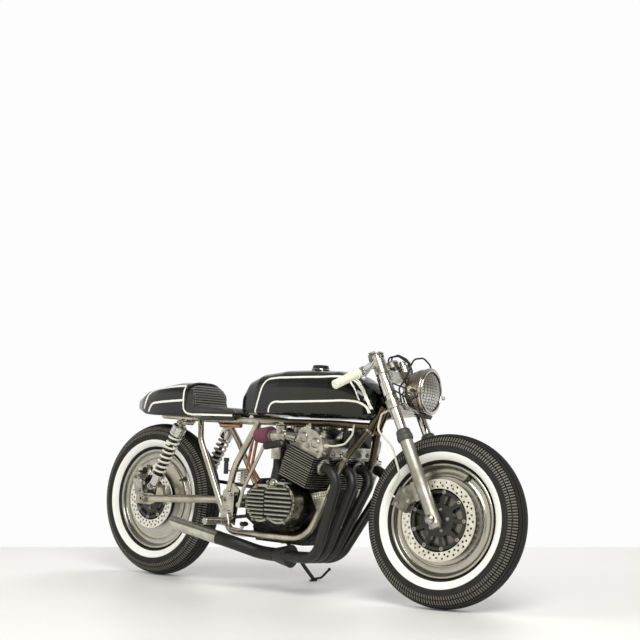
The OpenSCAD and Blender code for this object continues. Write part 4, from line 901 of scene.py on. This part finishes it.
# seal rubber: dull, and grey with dust
seal_grey = coated("seal_rubber", "#4f4e4a", "#383733", 0.5, 30, 1.0)
seal = turned("fork_seals_dressed", [
    (18.7, 320.5), (27, 320.5), (30, 324), (31, 333), (30.4, 342), (27.6, 347), (28.2, 350), (27.4, 359),
    (24.4, 365), (20.6, 368), (18.7, 368.4), (18.7, 320.5)], 48)
settled(repeated(seal, tube_axes), "steering", "black_rubber", seal_grey, stands_for=("fork_seals",))
pinch = [facing(FORK, (22, side * (FORK_HALF - 8), s), (1, 0, 0)) for side in SIDES
         for s in (466, 480, 610, 619)]
pinch += [facing(FORK, (0, side * (FORK_HALF + 37), 0), (0, side, 0)) for side in SIDES]
settled(screw("fork_pinch_bolts", 13, pinch), "steering", "steel", steel)
fork_cap = turned("fork_top_caps", [(0, 13), (9, 13), (11, 11), (11, 6), (17, 6), (18, 4), (18, -1),
                                    (0, -1)], 36)
settled(repeated(fork_cap, [facing(FORK, (0, side * FORK_HALF, 673), (0, 0, 1), "Y") for side in SIDES]),
        "steering", "chrome_trim", chrome)
stem_nut = turned("steering_stem_nut", [(0, 9), (12, 9), (16, 7), (18, 4), (18, -1), (0, -1)], 6)
settled(repeated(stem_nut, [facing(FORK, (-50, 0, 642), (0, 0, 1), "Y")]), "steering", "chrome_trim", chrome)
axle_lug = turned("axle_lug_caps", [(0, 7), (8, 7), (10, 5), (15, 4), (17, 2), (17, -2), (0, -2)], 36)
settled(repeated(axle_lug, [facing(FORK, (0, side * (FORK_HALF + 38), 0), (0, side, 0), "Y")
                            for side in SIDES]), "steering", "steel", steel)


# Front caliper: a grey aluminium casting, left mottled from the sand, bolted to the right leg. Its pad
# pins and bleed screw show as bright heads.
mottled = worn_metal("mottled_casting", "#8d8b83", "#6d6b64", 0.42, 26, 1.5, 0.12)
dress(mottled, "front_caliper")
settled(screw("front_caliper_bolts", 13, [facing(FORK, at, right) for at in (
    (-76, -94, 108), (-76, -94, 152), (-30, -95, 112), (-30, -95, 150), (-128, -94, 118))]),
    "steering", "steel", steel)


# Headlight: a spun bowl in dull nickel with two bright rim rings, a chromed reflector with its bulb, and a
# pressed glass lens whose back is fluted in rows and columns.
LAMP = FORK @ Matrix.Translation((0.1148, 0, 0.4858)) @ Matrix.Rotation(RAKE, 4, "Y")
LENS_R, LENS_RISE, LENS_ROWS, LENS_COLUMNS = 0.0768, 0.019, 14, 10
ROW_DEPTH, COLUMN_DEPTH = 0.0012, 0.0009
# dull nickel: warm, with soft dark bands
lamp_nickel = worn_metal("dull_lamp_nickel", "#b3aa9b", "#857d70", 0.24, 50, 1.0)
dress(lamp_nickel, "headlight_shell")
front = facing(LAMP, (0, 0, 0), (1, 0, 0), "Y")
for name, ring_r, ahead_mm, wire in (("lamp_outer_rim", 87.5, 1, 3.2), ("lamp_inner_rim", 79.5, 7.5, 3.4)):
    settled(repeated(bead(name, ring_r, ahead_mm, wire, 96, 12), [front]), "steering", "chrome_trim", chrome)
reflector = turned("lamp_reflector", [
    (69, -7), (64, -22), (54, -40), (38, -54), (20, -62), (9, -64), (9, -66), (20, -64), (39, -56), (55, -42),
    (65.5, -23), (70.5, -7), (69, -7)], 64)
settled(repeated(reflector, [front]), "steering", "chrome_trim", chrome)
bulb = turned("lamp_bulb", [(0, -24), (5, -26), (8, -32), (8, -40), (6, -48), (6, -68), (0, -68)], 24)
# frosted glass: an even white
frosted = coated("frosted_bulb", "#f4f1e6", "#e6e2d4", 0.3, 10, 1.0)
settled(repeated(bulb, [front]), "steering", "lens_glass", frosted)

# pressed glass: a painted reflection, pale below and duller above, with painted shade in dark lines where the
# flutes meet
lens_clear, tree, shader, place = fresh("pressed_lens_glass")
stria = add(tree, "TexNoise", {"Vector": place, "Scale": 1000 / 11.1, "Detail": 2.0})["Fac"]
spot = own_place(tree, place, LAMP)
waves = []
for axis, count in (("Z", LENS_ROWS), ("Y", LENS_COLUMNS)):
    turn = add(tree, "Math", spot[axis], math.pi * count / (2 * LENS_R), operation="MULTIPLY")[0]
    waves.append(add(tree, "Math", add(tree, "Math", turn, operation="SINE")[0], operation="ABSOLUTE")[0])
nearest = add(tree, "Math", *waves, operation="MINIMUM")[0]
# painted shade in the valleys where the flutes meet
clear_of_valley_shade = add(tree, "MapRange", nearest, 0.1, 0.5, 0.0, 1.0, **SOFT)[0]
painted_dim_above = add(tree, "MapRange", spot["Z"], -0.03, 0.03, 0.0, 1.0, **SOFT)[0]
painted_light_tone = add(tree, "Mix", {"Factor": painted_dim_above, "A": hue("#f4f3ec"), "B": hue("#8a887a")}, **RGB)["Result"]
feed(tree, shader, {
    "Base Color": add(tree, "Mix", {"Factor": clear_of_valley_shade, "A": hue("#4a483f"), "B": painted_light_tone}, **RGB)["Result"],
    "Normal": add(tree, "Bump", {"Height": stria, "Strength": 0.15, "Distance": 0.0002})["Normal"],
    "Roughness": 0.08, "Transmission Weight": 0.4, "IOR": 1.5})
bpy.ops.object.select_all(action="DESELECT")
bpy.ops.mesh.primitive_grid_add(x_subdivisions=112, y_subdivisions=112, size=2 * LENS_R)
lens = opened("lamp_lens")
choose(lens, lambda v: math.hypot(v.co.x, v.co.y) > LENS_R, "VERT")
bpy.ops.mesh.delete(type="VERT")
mesh = bmesh.from_edit_mesh(lens.data)
for v in mesh.verts:
    share = math.hypot(v.co.x, v.co.y) / LENS_R
    rows = abs(math.sin(math.pi * v.co.x / (2 * LENS_R) * LENS_ROWS))
    columns = abs(math.sin(math.pi * v.co.y / (2 * LENS_R) * LENS_COLUMNS))
    calm = min(1.0, (1 - share) * 9)
    v.co.z = LENS_RISE * (1 - share ** 2.4) + ROW_DEPTH * rows * calm + COLUMN_DEPTH * columns * calm
bmesh.update_edit_mesh(lens.data)
bpy.ops.object.mode_set(mode="OBJECT")
glass = lens.modifiers.new("glass", "SOLIDIFY")
glass.thickness = 0.003
glass.offset = -1
bpy.ops.object.modifier_apply(modifier="glass")
lens.data.transform(LAMP @ Matrix.Rotation(math.radians(90), 4, "Y") @ Matrix.Translation((0, 0, 0.0015)))
settled(lens, "steering", "lens_glass", lens_clear, stands_for=("headlight_lens",), sharp=50)


# Lamp ears: black enamelled plates, lightened with a long opening, on chromed collars round the fork
# tubes. A bolt through each ear holds the bowl.
EAR = ((0, 560), (20, 560), (98, 486), (98, 458), (70, 456), (20, 520), (0, 520))
EAR_RIM, EAR_T, EAR_Y = 0.006, 0.005, 0.0945
ear = drawn("lamp_ear_plates", [(fore, 0, up) for fore, up in EAR])
bpy.ops.mesh.edge_face_add()
bpy.ops.mesh.select_mode(type="FACE")
bpy.ops.mesh.select_all(action="SELECT")
bpy.ops.mesh.inset(thickness=EAR_RIM)
bpy.ops.mesh.delete(type="ONLY_FACE")
bpy.ops.object.mode_set(mode="OBJECT")
wall = ear.modifiers.new("wall", "SOLIDIFY")
wall.thickness = EAR_T
wall.offset = 0
bpy.ops.object.modifier_apply(modifier="wall")
edge = ear.modifiers.new("edge", "BEVEL")
edge.width = 0.0008
bpy.ops.object.modifier_apply(modifier="edge")
settled(repeated(ear, [FORK @ Matrix.Translation((0, side * EAR_Y, 0)) for side in SIDES]), "steering",
        "champagne_nickel", black_metal, stands_for=("headlight_ears",))
ear_collar = turned("lamp_ear_collars", [(18.7, 512), (22.5, 512), (23.5, 513), (23.5, 567), (22.5, 568),
                                         (18.7, 568), (18.7, 512)], 48)
settled(repeated(ear_collar, tube_axes), "steering", "champagne_nickel", chrome)
settled(screw("lamp_ear_bolts", 15, [facing(LAMP, (-36, side * 93, 0), (0, side, 0)) for side in SIDES]),
        "steering", "chrome_trim", chrome)


# Grips: cream rubber moulded with fine rings and closed at the end, pushed over the chromed clip-on bars.
# The rubber is a little yellowed and dull.
cream_rubber = coated("cream_rubber", "#f6f3e8", "#e6e1d2", 0.5, 24, 1.2)
dress(cream_rubber, "grips")
for side, hand in zip(SIDES, ("right", "left")):
    root, end = Vector((-14, side * (FORK_HALF + 8), 648)), Vector((-104, side * 300, 579))
    way = (end - root).normalized()
    sleeve(hand + "_grip_rings", FORK, end - way * 117, end + way * 6, 17.6, 6, "steering", "pale_rubber",
           cream_rubber, 3)


# Instruments: a speedometer in a satin grey can with a chromed bezel over a plain ticked dial, and a pod of
# warning lights beside it, both screwed to the top clamp.
SPEEDO = FORK @ Matrix.Translation((-0.062, 0, 0.682)) @ Matrix.Rotation(math.radians(20), 4, "Y")
TICKS, TICK_R, TICK_HALF = 36, 0.0205, 0.002
POD = Vector((-20, 42, 677))
# satin can: a plain grey with a soft shine
can_grey = worn_metal("satin_grey_can", "#8b8983", "#6a6862", 0.3, 40, 1.0)
dress(can_grey, "instruments")
# printed dial: matt black with a ring of pale ticks
dial, tree, shader, place = fresh("printed_dial")
spot = own_place(tree, place, SPEEDO)
flat = add(tree, "CombineXYZ", spot["X"], spot["Y"], 0.0)[0]
away = add(tree, "VectorMath", flat, operation="LENGTH")["Value"]
angle = add(tree, "Math", spot["Y"], spot["X"], operation="ARCTAN2")[0]
turn = add(tree, "Math", angle, TICKS / (2 * math.pi), operation="MULTIPLY")[0]
tick = add(tree, "Math", add(tree, "Math", turn, operation="FRACT")[0], 0.5, 0.12, operation="COMPARE")[0]
outer = add(tree, "Math", away, TICK_R, TICK_HALF, operation="COMPARE")[0]
printed = add(tree, "Math", tick, outer, operation="MULTIPLY")[0]
feed(tree, shader, {
    "Base Color": add(tree, "Mix", {"Factor": printed, "A": hue("#141413"), "B": hue("#ebe8df")},
                      **RGB)["Result"],
    "Roughness": 0.35})
upright = facing(SPEEDO, (0, 0, 0), (0, 0, 1), "Y")
face = turned("speedometer_dial", [(0, 52), (25, 52), (25.6, 51), (25.6, 49), (0, 49)], 48)
settled(repeated(face, [upright]), "steering", "black_plastic", dial)
settled(repeated(bead("speedometer_bezel", 28, 50, 3.4, 64, 12), [upright]), "steering", "chrome_trim", chrome)
needle_boss = turned("speedometer_needle_boss", [(0, 54.5), (2.6, 54.2), (3.4, 53), (3.4, 51.5), (0, 51.5)], 20)
settled(repeated(needle_boss, [upright]), "steering", "steel", steel)
pod_rim = bead("warning_pod_rim", 30, 0, 2.4, 64, 10)
settled(repeated(pod_rim, [facing(FORK, POD - Vector((0, 0, 1)), (0, 0, 1), "Y")]), "steering", "chrome_trim",
        chrome)
jewel = turned("warning_jewels", [(0, 3.4), (2.4, 2.8), (4, 1.4), (4.6, 0), (4.6, -1), (0, -1)], 20)
settled(repeated(jewel, [facing(FORK, POD + Vector((x, y, 0)), (0, 0, 1), "Y")
                         for x, y in ((12, 0), (-6, 11), (-6, -11))]),
        "steering", "red_lens", coated("red_jewel", *red_plastic))


# Wheels: discs of spun aluminium with a rolled lip, a deep trough and two pressed rings, on turned hubs.
# The marks of the spinning tool run round the axle, so the finish is drawn against distance from it.
REAR = PARKED @ Matrix.Translation((0, 0, AXLE_Z))
FRONT_ROTOR_R, REAR_ROTOR_R = 154, 128
BORE_R, HUB_R = 10.6, 60
# one side of the rim from the hub out to the bead's seat: radius and distance from the middle, in mm
RIM_SIDE = [
    (HUB_R, 42), (66, 41.6), (80, 39), (104, 35.6), (112, 35.2), (115, 36.4), (119, 36.4), (122, 33.8),
    (140, 30.6), (160, 26.4), (166, 26), (169, 27.6), (173, 27.4), (176, 24.2), (186, 22.2), (193, 22),
    (197, 23.6), (200, 28), (203, 35), (205, 39), (208, 41.2), (211.5, 41.4), (215, 39.6), (216.6, 36.5),
    (216, 33.6), (212, 33), (208.6, 31), (205, 26), (203, 20)]
VALVE = [(0, 30), (3.2, 30), (4, 29), (4, 20), (5, 19), (5, 8), (9, 4), (11, 0), (0, 0)]


def spun_aluminium(name, base, rotor_r):
    """Aluminium worked on a lathe: fine rings round the axle, with a cloudy sheen across them, and painted
    shade behind the rotor.
    """
    material, tree, shader, place = fresh(name)
    spot = own_place(tree, place, base)
    flat = add(tree, "CombineXYZ", spot["X"], 0.0, spot["Z"])[0]
    away = add(tree, "VectorMath", flat, operation="LENGTH")["Value"]
    # tool marks of about 2 mm, drawn that coarse so that they show
    marks = add(tree, "TexNoise", {"W": away, "Scale": 1000 / 2, "Detail": 4.0}, noise_dimensions="1D")["Fac"]
    cloud = add(tree, "TexNoise", {"Vector": place, "Scale": 1000 / 71.4, "Detail": 4.0})["Fac"]
    clean = add(tree, "Mix", {"Factor": cloud, "A": hue("#c6c3ba"), "B": hue("#a3a097")}, **RGB)["Result"]
    # painted shade darkens the disc behind the rotor, most of all where the ring runs
    within = add(tree, "MapRange", away, rotor_r + 0.002, rotor_r - 0.022, 0.0, 1.0, **SOFT)[0]
    ringed = add(tree, "MapRange", away, rotor_r - 0.075, rotor_r - 0.04, 0.62, 1.0, **SOFT)[0]
    rotor_side = add(tree, "Math", spot["Y"], 0.0, operation="LESS_THAN")[0]
    # painted shade of the rotor on the disc
    dust_and_shade = add(tree, "Math", add(tree, "Math", within, ringed, operation="MULTIPLY")[0], rotor_side,
               operation="MULTIPLY")[0]
    feed(tree, shader, {
        "Base Color": add(tree, "Mix", {"Factor": dust_and_shade, "A": clean, "B": hue("#1d1c19")}, **RGB)["Result"],
        "Roughness": add(tree, "MapRange", marks, 0.3, 0.7, 0.2, 0.36)[0],
        "Normal": add(tree, "Bump", {"Height": marks, "Strength": 0.35, "Distance": 0.0002})["Normal"],
        "Metallic": 1.0})
    return material


def disc_wheel(name, base, hub_right, hub_left, rotor_r, body):
    """One wheel: the hub's faces, then each side's pressed disc and rolled lip, drawn as one line and spun."""
    outline = [(BORE_R, -hub_right), (HUB_R - 4, -hub_right), (HUB_R, 4 - hub_right)]
    outline += [(radius, -aside) for radius, aside in RIM_SIDE] + RIM_SIDE[::-1]
    outline += [(HUB_R, hub_left - 4), (HUB_R - 4, hub_left), (BORE_R, hub_left), (BORE_R, -hub_right)]
    settled(repeated(turned(name, outline, 128), [base]), body, "bare_alloy",
            spun_aluminium(name + "_spun_aluminium", base, rotor_r / 1000), stands_for=(body,), sharp=40)


disc_wheel("front_disc_wheel", FORK, 61, 61, FRONT_ROTOR_R, "front_wheel")
disc_wheel("rear_disc_wheel", REAR, 64, 71, REAR_ROTOR_R, "rear_wheel")
for name, base, at, body in (("valve_stem", FORK, (154, -22, 104), "front_wheel"),
                             ("rear_valve_stem", REAR, (160, -22, 94), "rear_wheel")):
    settled(repeated(turned(name, VALVE, 20), [facing(base, at, (-0.5, -0.85, -0.3), "Y")]), body,
            "black_rubber", soft_black)


# Tyres: black rubber balloons with a white band. The crown has round grooves, the shoulder a comb of blocks
# and below it a finer comb; a groove is pressed in by sinking every other face round the tyre.
TYRE_R, TYRE_HALF = 328, 61
BLOCKS = 176
TREAD = [
    # angle from the crown in degrees, depth under the round section in mm
    (0, 0), (6, 0), (6.7, 3.6), (9.3, 3.6), (10, 0), (16, 0), (22, 0), (22.7, 3.6), (25.3, 3.6), (26, 0),
    (32, 0), (37, 0), (37.8, 4), (40.2, 4), (41, 0), (48, 0), (55, 0), (60, 0), (61, 1.6), (63, 1.6), (64, 0.2),
    (70, 0.2), (77, 0.2), (78, 1), (84, 1), (90, 1), (96, 1), (100.5, 1.2), (101.5, -0.7), (106, -1),
    (113, -1), (120, -1), (126, -0.9), (130.5, -0.6), (131.5, 1), (138, 1), (146, 1), (154, 1)]
SHOULDER, FINE_COMB, WHITE, TREAD_SPAN = (41, 60), (64, 77), (101, 132), (0, 78)
# how deep a face lies under the round section, in mm, to count as a groove or as the top of a block
GROOVE_FROM, TOP_TO = 1.4, 0.9

# rubber: black and dull, a little browner where dust has stayed, with fine pores
tyre_rubber, tree, shader, place = fresh("tyre_rubber")
dust_and_shade = add(tree, "TexNoise", {"Vector": place, "Scale": 1000 / 38.5, "Detail": 7.0})["Fac"]
pores = add(tree, "TexNoise", {"Vector": place, "Scale": 1000 / 1.43, "Detail": 2.0})["Fac"]
feed(tree, shader, {
    "Base Color": add(tree, "Mix", {"Factor": dust_and_shade, "A": hue("#0b0a0a"), "B": hue("#1a1815")}, **RGB)["Result"],
    "Normal": add(tree, "Bump", {"Height": pores, "Strength": 0.4, "Distance": 0.0003})["Normal"],
    "Roughness": add(tree, "MapRange", dust_and_shade, 0.3, 0.7, 0.58, 0.8)[0]})
# painted shade blackens the grooves, and a painted highlight pales the tops of the combs
groove_painted_shade = coated("tread_groove_painted_shade", "#0d0c0b", "#060605", 0.85, 12, 1.0)
comb_tops_painted_highlight = coated("tread_tops_painted_highlight", "#857f74", "#4b4740", 0.5, 9, 1.0)
# the band is clean and nearly white
white_rubber = coated("whitewall_rubber", "#faf9f5", "#f0eee7", 0.45, 40, 1.0)


def round_tyre(name, base, body, node):
    """One tyre: half its outline mirrored, spun, with its combs sunk in and its white band marked."""
    ring_r = TYRE_R - TYRE_HALF
    half = [(ring_r + (TYRE_HALF - d) * math.cos(math.radians(a)), (TYRE_HALF - d) * math.sin(math.radians(a)))
            for a, d in TREAD]
    outline = [(r, -y) for r, y in reversed(half)] + half[1:]
    outline.append(outline[0])
    tyre = turned(name, outline, BLOCKS * 2)

    def in_band(face, band):
        at = face.calc_center_median() * 1000
        angle = math.degrees(math.atan2(abs(at.y), math.hypot(at.x, at.z) - ring_r))
        return band[0] < angle < band[1]

    def odd(face):
        at = face.calc_center_median()
        return int((math.atan2(at.z, at.x) / (2 * math.pi) % 1) * BLOCKS * 2) % 2 == 1

    for band, depth in ((SHOULDER, 0.0036), (FINE_COMB, 0.002)):
        choose(tyre, lambda f: in_band(f, band) and odd(f))
        bpy.ops.mesh.extrude_region_shrink_fatten(TRANSFORM_OT_shrink_fatten={"value": -depth})
    # the grooves take the painted shade and the tops of the combs the painted highlight
    for face in bmesh.from_edit_mesh(tyre.data).faces:
        at = face.calc_center_median() * 1000
        sunk = TYRE_HALF - math.hypot(math.hypot(at.x, at.z) - ring_r, at.y)
        if in_band(face, WHITE):
            face.material_index = 1
        elif in_band(face, TREAD_SPAN) and sunk > GROOVE_FROM:
            face.material_index = 2
        elif (in_band(face, SHOULDER) or in_band(face, FINE_COMB)) and sunk < TOP_TO:
            face.material_index = 3
    bmesh.update_edit_mesh(tyre.data)
    settled(repeated(tyre, [base]), body, "tyre_black", tyre_rubber, white_rubber, groove_painted_shade,
            comb_tops_painted_highlight, stands_for=(node,), sharp=38)


round_tyre("front_treaded_tyre", FORK, "front_wheel", "front_tyre")
round_tyre("rear_treaded_tyre", REAR, "rear_wheel", "rear_tyre")


# Brake rotors: ground steel rings, drilled in staggered pairs, floating on button rivets round a black
# anodised carrier with tapered arms. Five bolts hold each carrier to its hub.
RING_WIDE, DRILL_R, BOLTS, BOLT_R = 36, 0.0046, 5, 0.04
# a pair of holes: how far in the first is, the second's step and turn, and the shift of every other pair
HOLE_IN, HOLE_STEP, HOLE_TURN, HOLE_SHIFT = 11, 14, 0.09, 4
# ground steel: pale and even, with a soft sheen
ground = worn_metal("ground_steel", "#efede7", "#d6d3cb", 0.34, 25, 0.8)
# anodised carrier: a soft black that still shows its edges
carrier_black = coated("black_anodised", "#2d2c2a", "#191817", 0.35, 20, 1.0)


def brake_rotor(name, base, face, radius, hub, arms, phase, body):
    """One rotor: the drilled ring, its rivets, and the carrier's hub, rim and arms."""
    inner = radius - RING_WIDE
    at_face = base @ Matrix.Translation((0, face / 1000, 0))
    ring = turned(name + "_ring", [
        (inner, 0.4), (inner + 0.4, 0), (radius - 0.4, 0), (radius, 0.4), (radius, 4.6), (radius - 0.4, 5),
        (inner + 0.4, 5), (inner, 4.6), (inner, 0.4)], 120)
    bpy.ops.object.mode_set(mode="OBJECT")
    bpy.ops.object.select_all(action="DESELECT")
    bpy.ops.mesh.primitive_cylinder_add(vertices=10, radius=DRILL_R, depth=0.03,
                                        rotation=(math.radians(90), 0, 0))
    drill = bpy.context.object
    bpy.ops.object.transform_apply()
    pairs = arms * 4
    holes = []
    for i in range(pairs):
        for j in range(2):
            out = inner + HOLE_IN + HOLE_STEP * j - HOLE_SHIFT * (i % 2)
            holes.append(Matrix.Rotation(2 * math.pi * i / pairs + HOLE_TURN * j, 4, "Y")
                         @ Matrix.Translation((out / 1000, 0, 0)))
    cut_away(ring, repeated(drill, holes))
    settled(repeated(ring, [at_face]), body, "bare_alloy", ground, stands_for=(name,))
    turns = [Matrix.Rotation(2 * math.pi * i / arms + math.radians(phase), 4, "Y") for i in range(arms)]
    rivet = turned(name + "_rivets", [(3, -1.5), (6.5, -1.5), (7.5, -0.5), (7.5, 5.5), (6.5, 6.5), (3, 6.5),
                                      (3, -1.5)], 20)
    at_rivet = Matrix.Translation(((inner - 11) / 1000, 0, 0))
    settled(repeated(rivet, [at_face @ turn @ at_rivet for turn in turns]), body, "steel", steel)
    for part, outline, steps in (
        ("_carrier_hub", [(17, 0.5), (hub, 0.5), (hub + 1, 1), (hub + 1, 4), (hub, 4.5), (17, 4.5),
                          (17, 0.5)], 64),
        ("_carrier_rim", [(inner - 17, 0.8), (inner - 7, 0.8), (inner - 6, 1.4), (inner - 6, 3.6),
                          (inner - 7, 4.2), (inner - 17, 4.2), (inner - 17, 0.8)], 96),
    ):
        settled(repeated(turned(name + part, outline, steps), [at_face]), body, "black_plastic", carrier_black)
    bpy.ops.object.select_all(action="DESELECT")
    reach = inner + 3 - hub
    bpy.ops.mesh.primitive_cube_add(size=1, scale=(reach / 1000, 0.004, 0.018),
                                    location=((hub + reach / 2 - 2) / 1000, 0.0025, 0))
    arm = opened(name + "_carrier_arms")
    choose(arm, lambda f: f.normal.x > 0.9)
    bpy.ops.transform.resize(value=(1, 1, 0.62))
    bpy.ops.mesh.select_all(action="SELECT")
    bpy.ops.mesh.bevel(offset=0.001, segments=1)
    bpy.ops.object.mode_set(mode="OBJECT")
    bpy.ops.object.transform_apply()
    settled(repeated(arm, [at_face @ turn for turn in turns]), body, "black_plastic", carrier_black)
    bolts = [at_face @ Matrix.Rotation(2 * math.pi * i / BOLTS + 0.3, 4, "Y")
             @ Matrix.Translation((BOLT_R, 0, 0)) @ Matrix.Rotation(math.radians(90), 4, "X")
             for i in range(BOLTS)]
    settled(screw(name + "_bolts", 11, bolts), body, "steel", steel)


brake_rotor("front_rotor", FORK, -66, FRONT_ROTOR_R, 62, 9, 25, "front_wheel")
brake_rotor("rear_rotor", REAR, -69, REAR_ROTOR_R, 58, 8, 10, "rear_wheel")
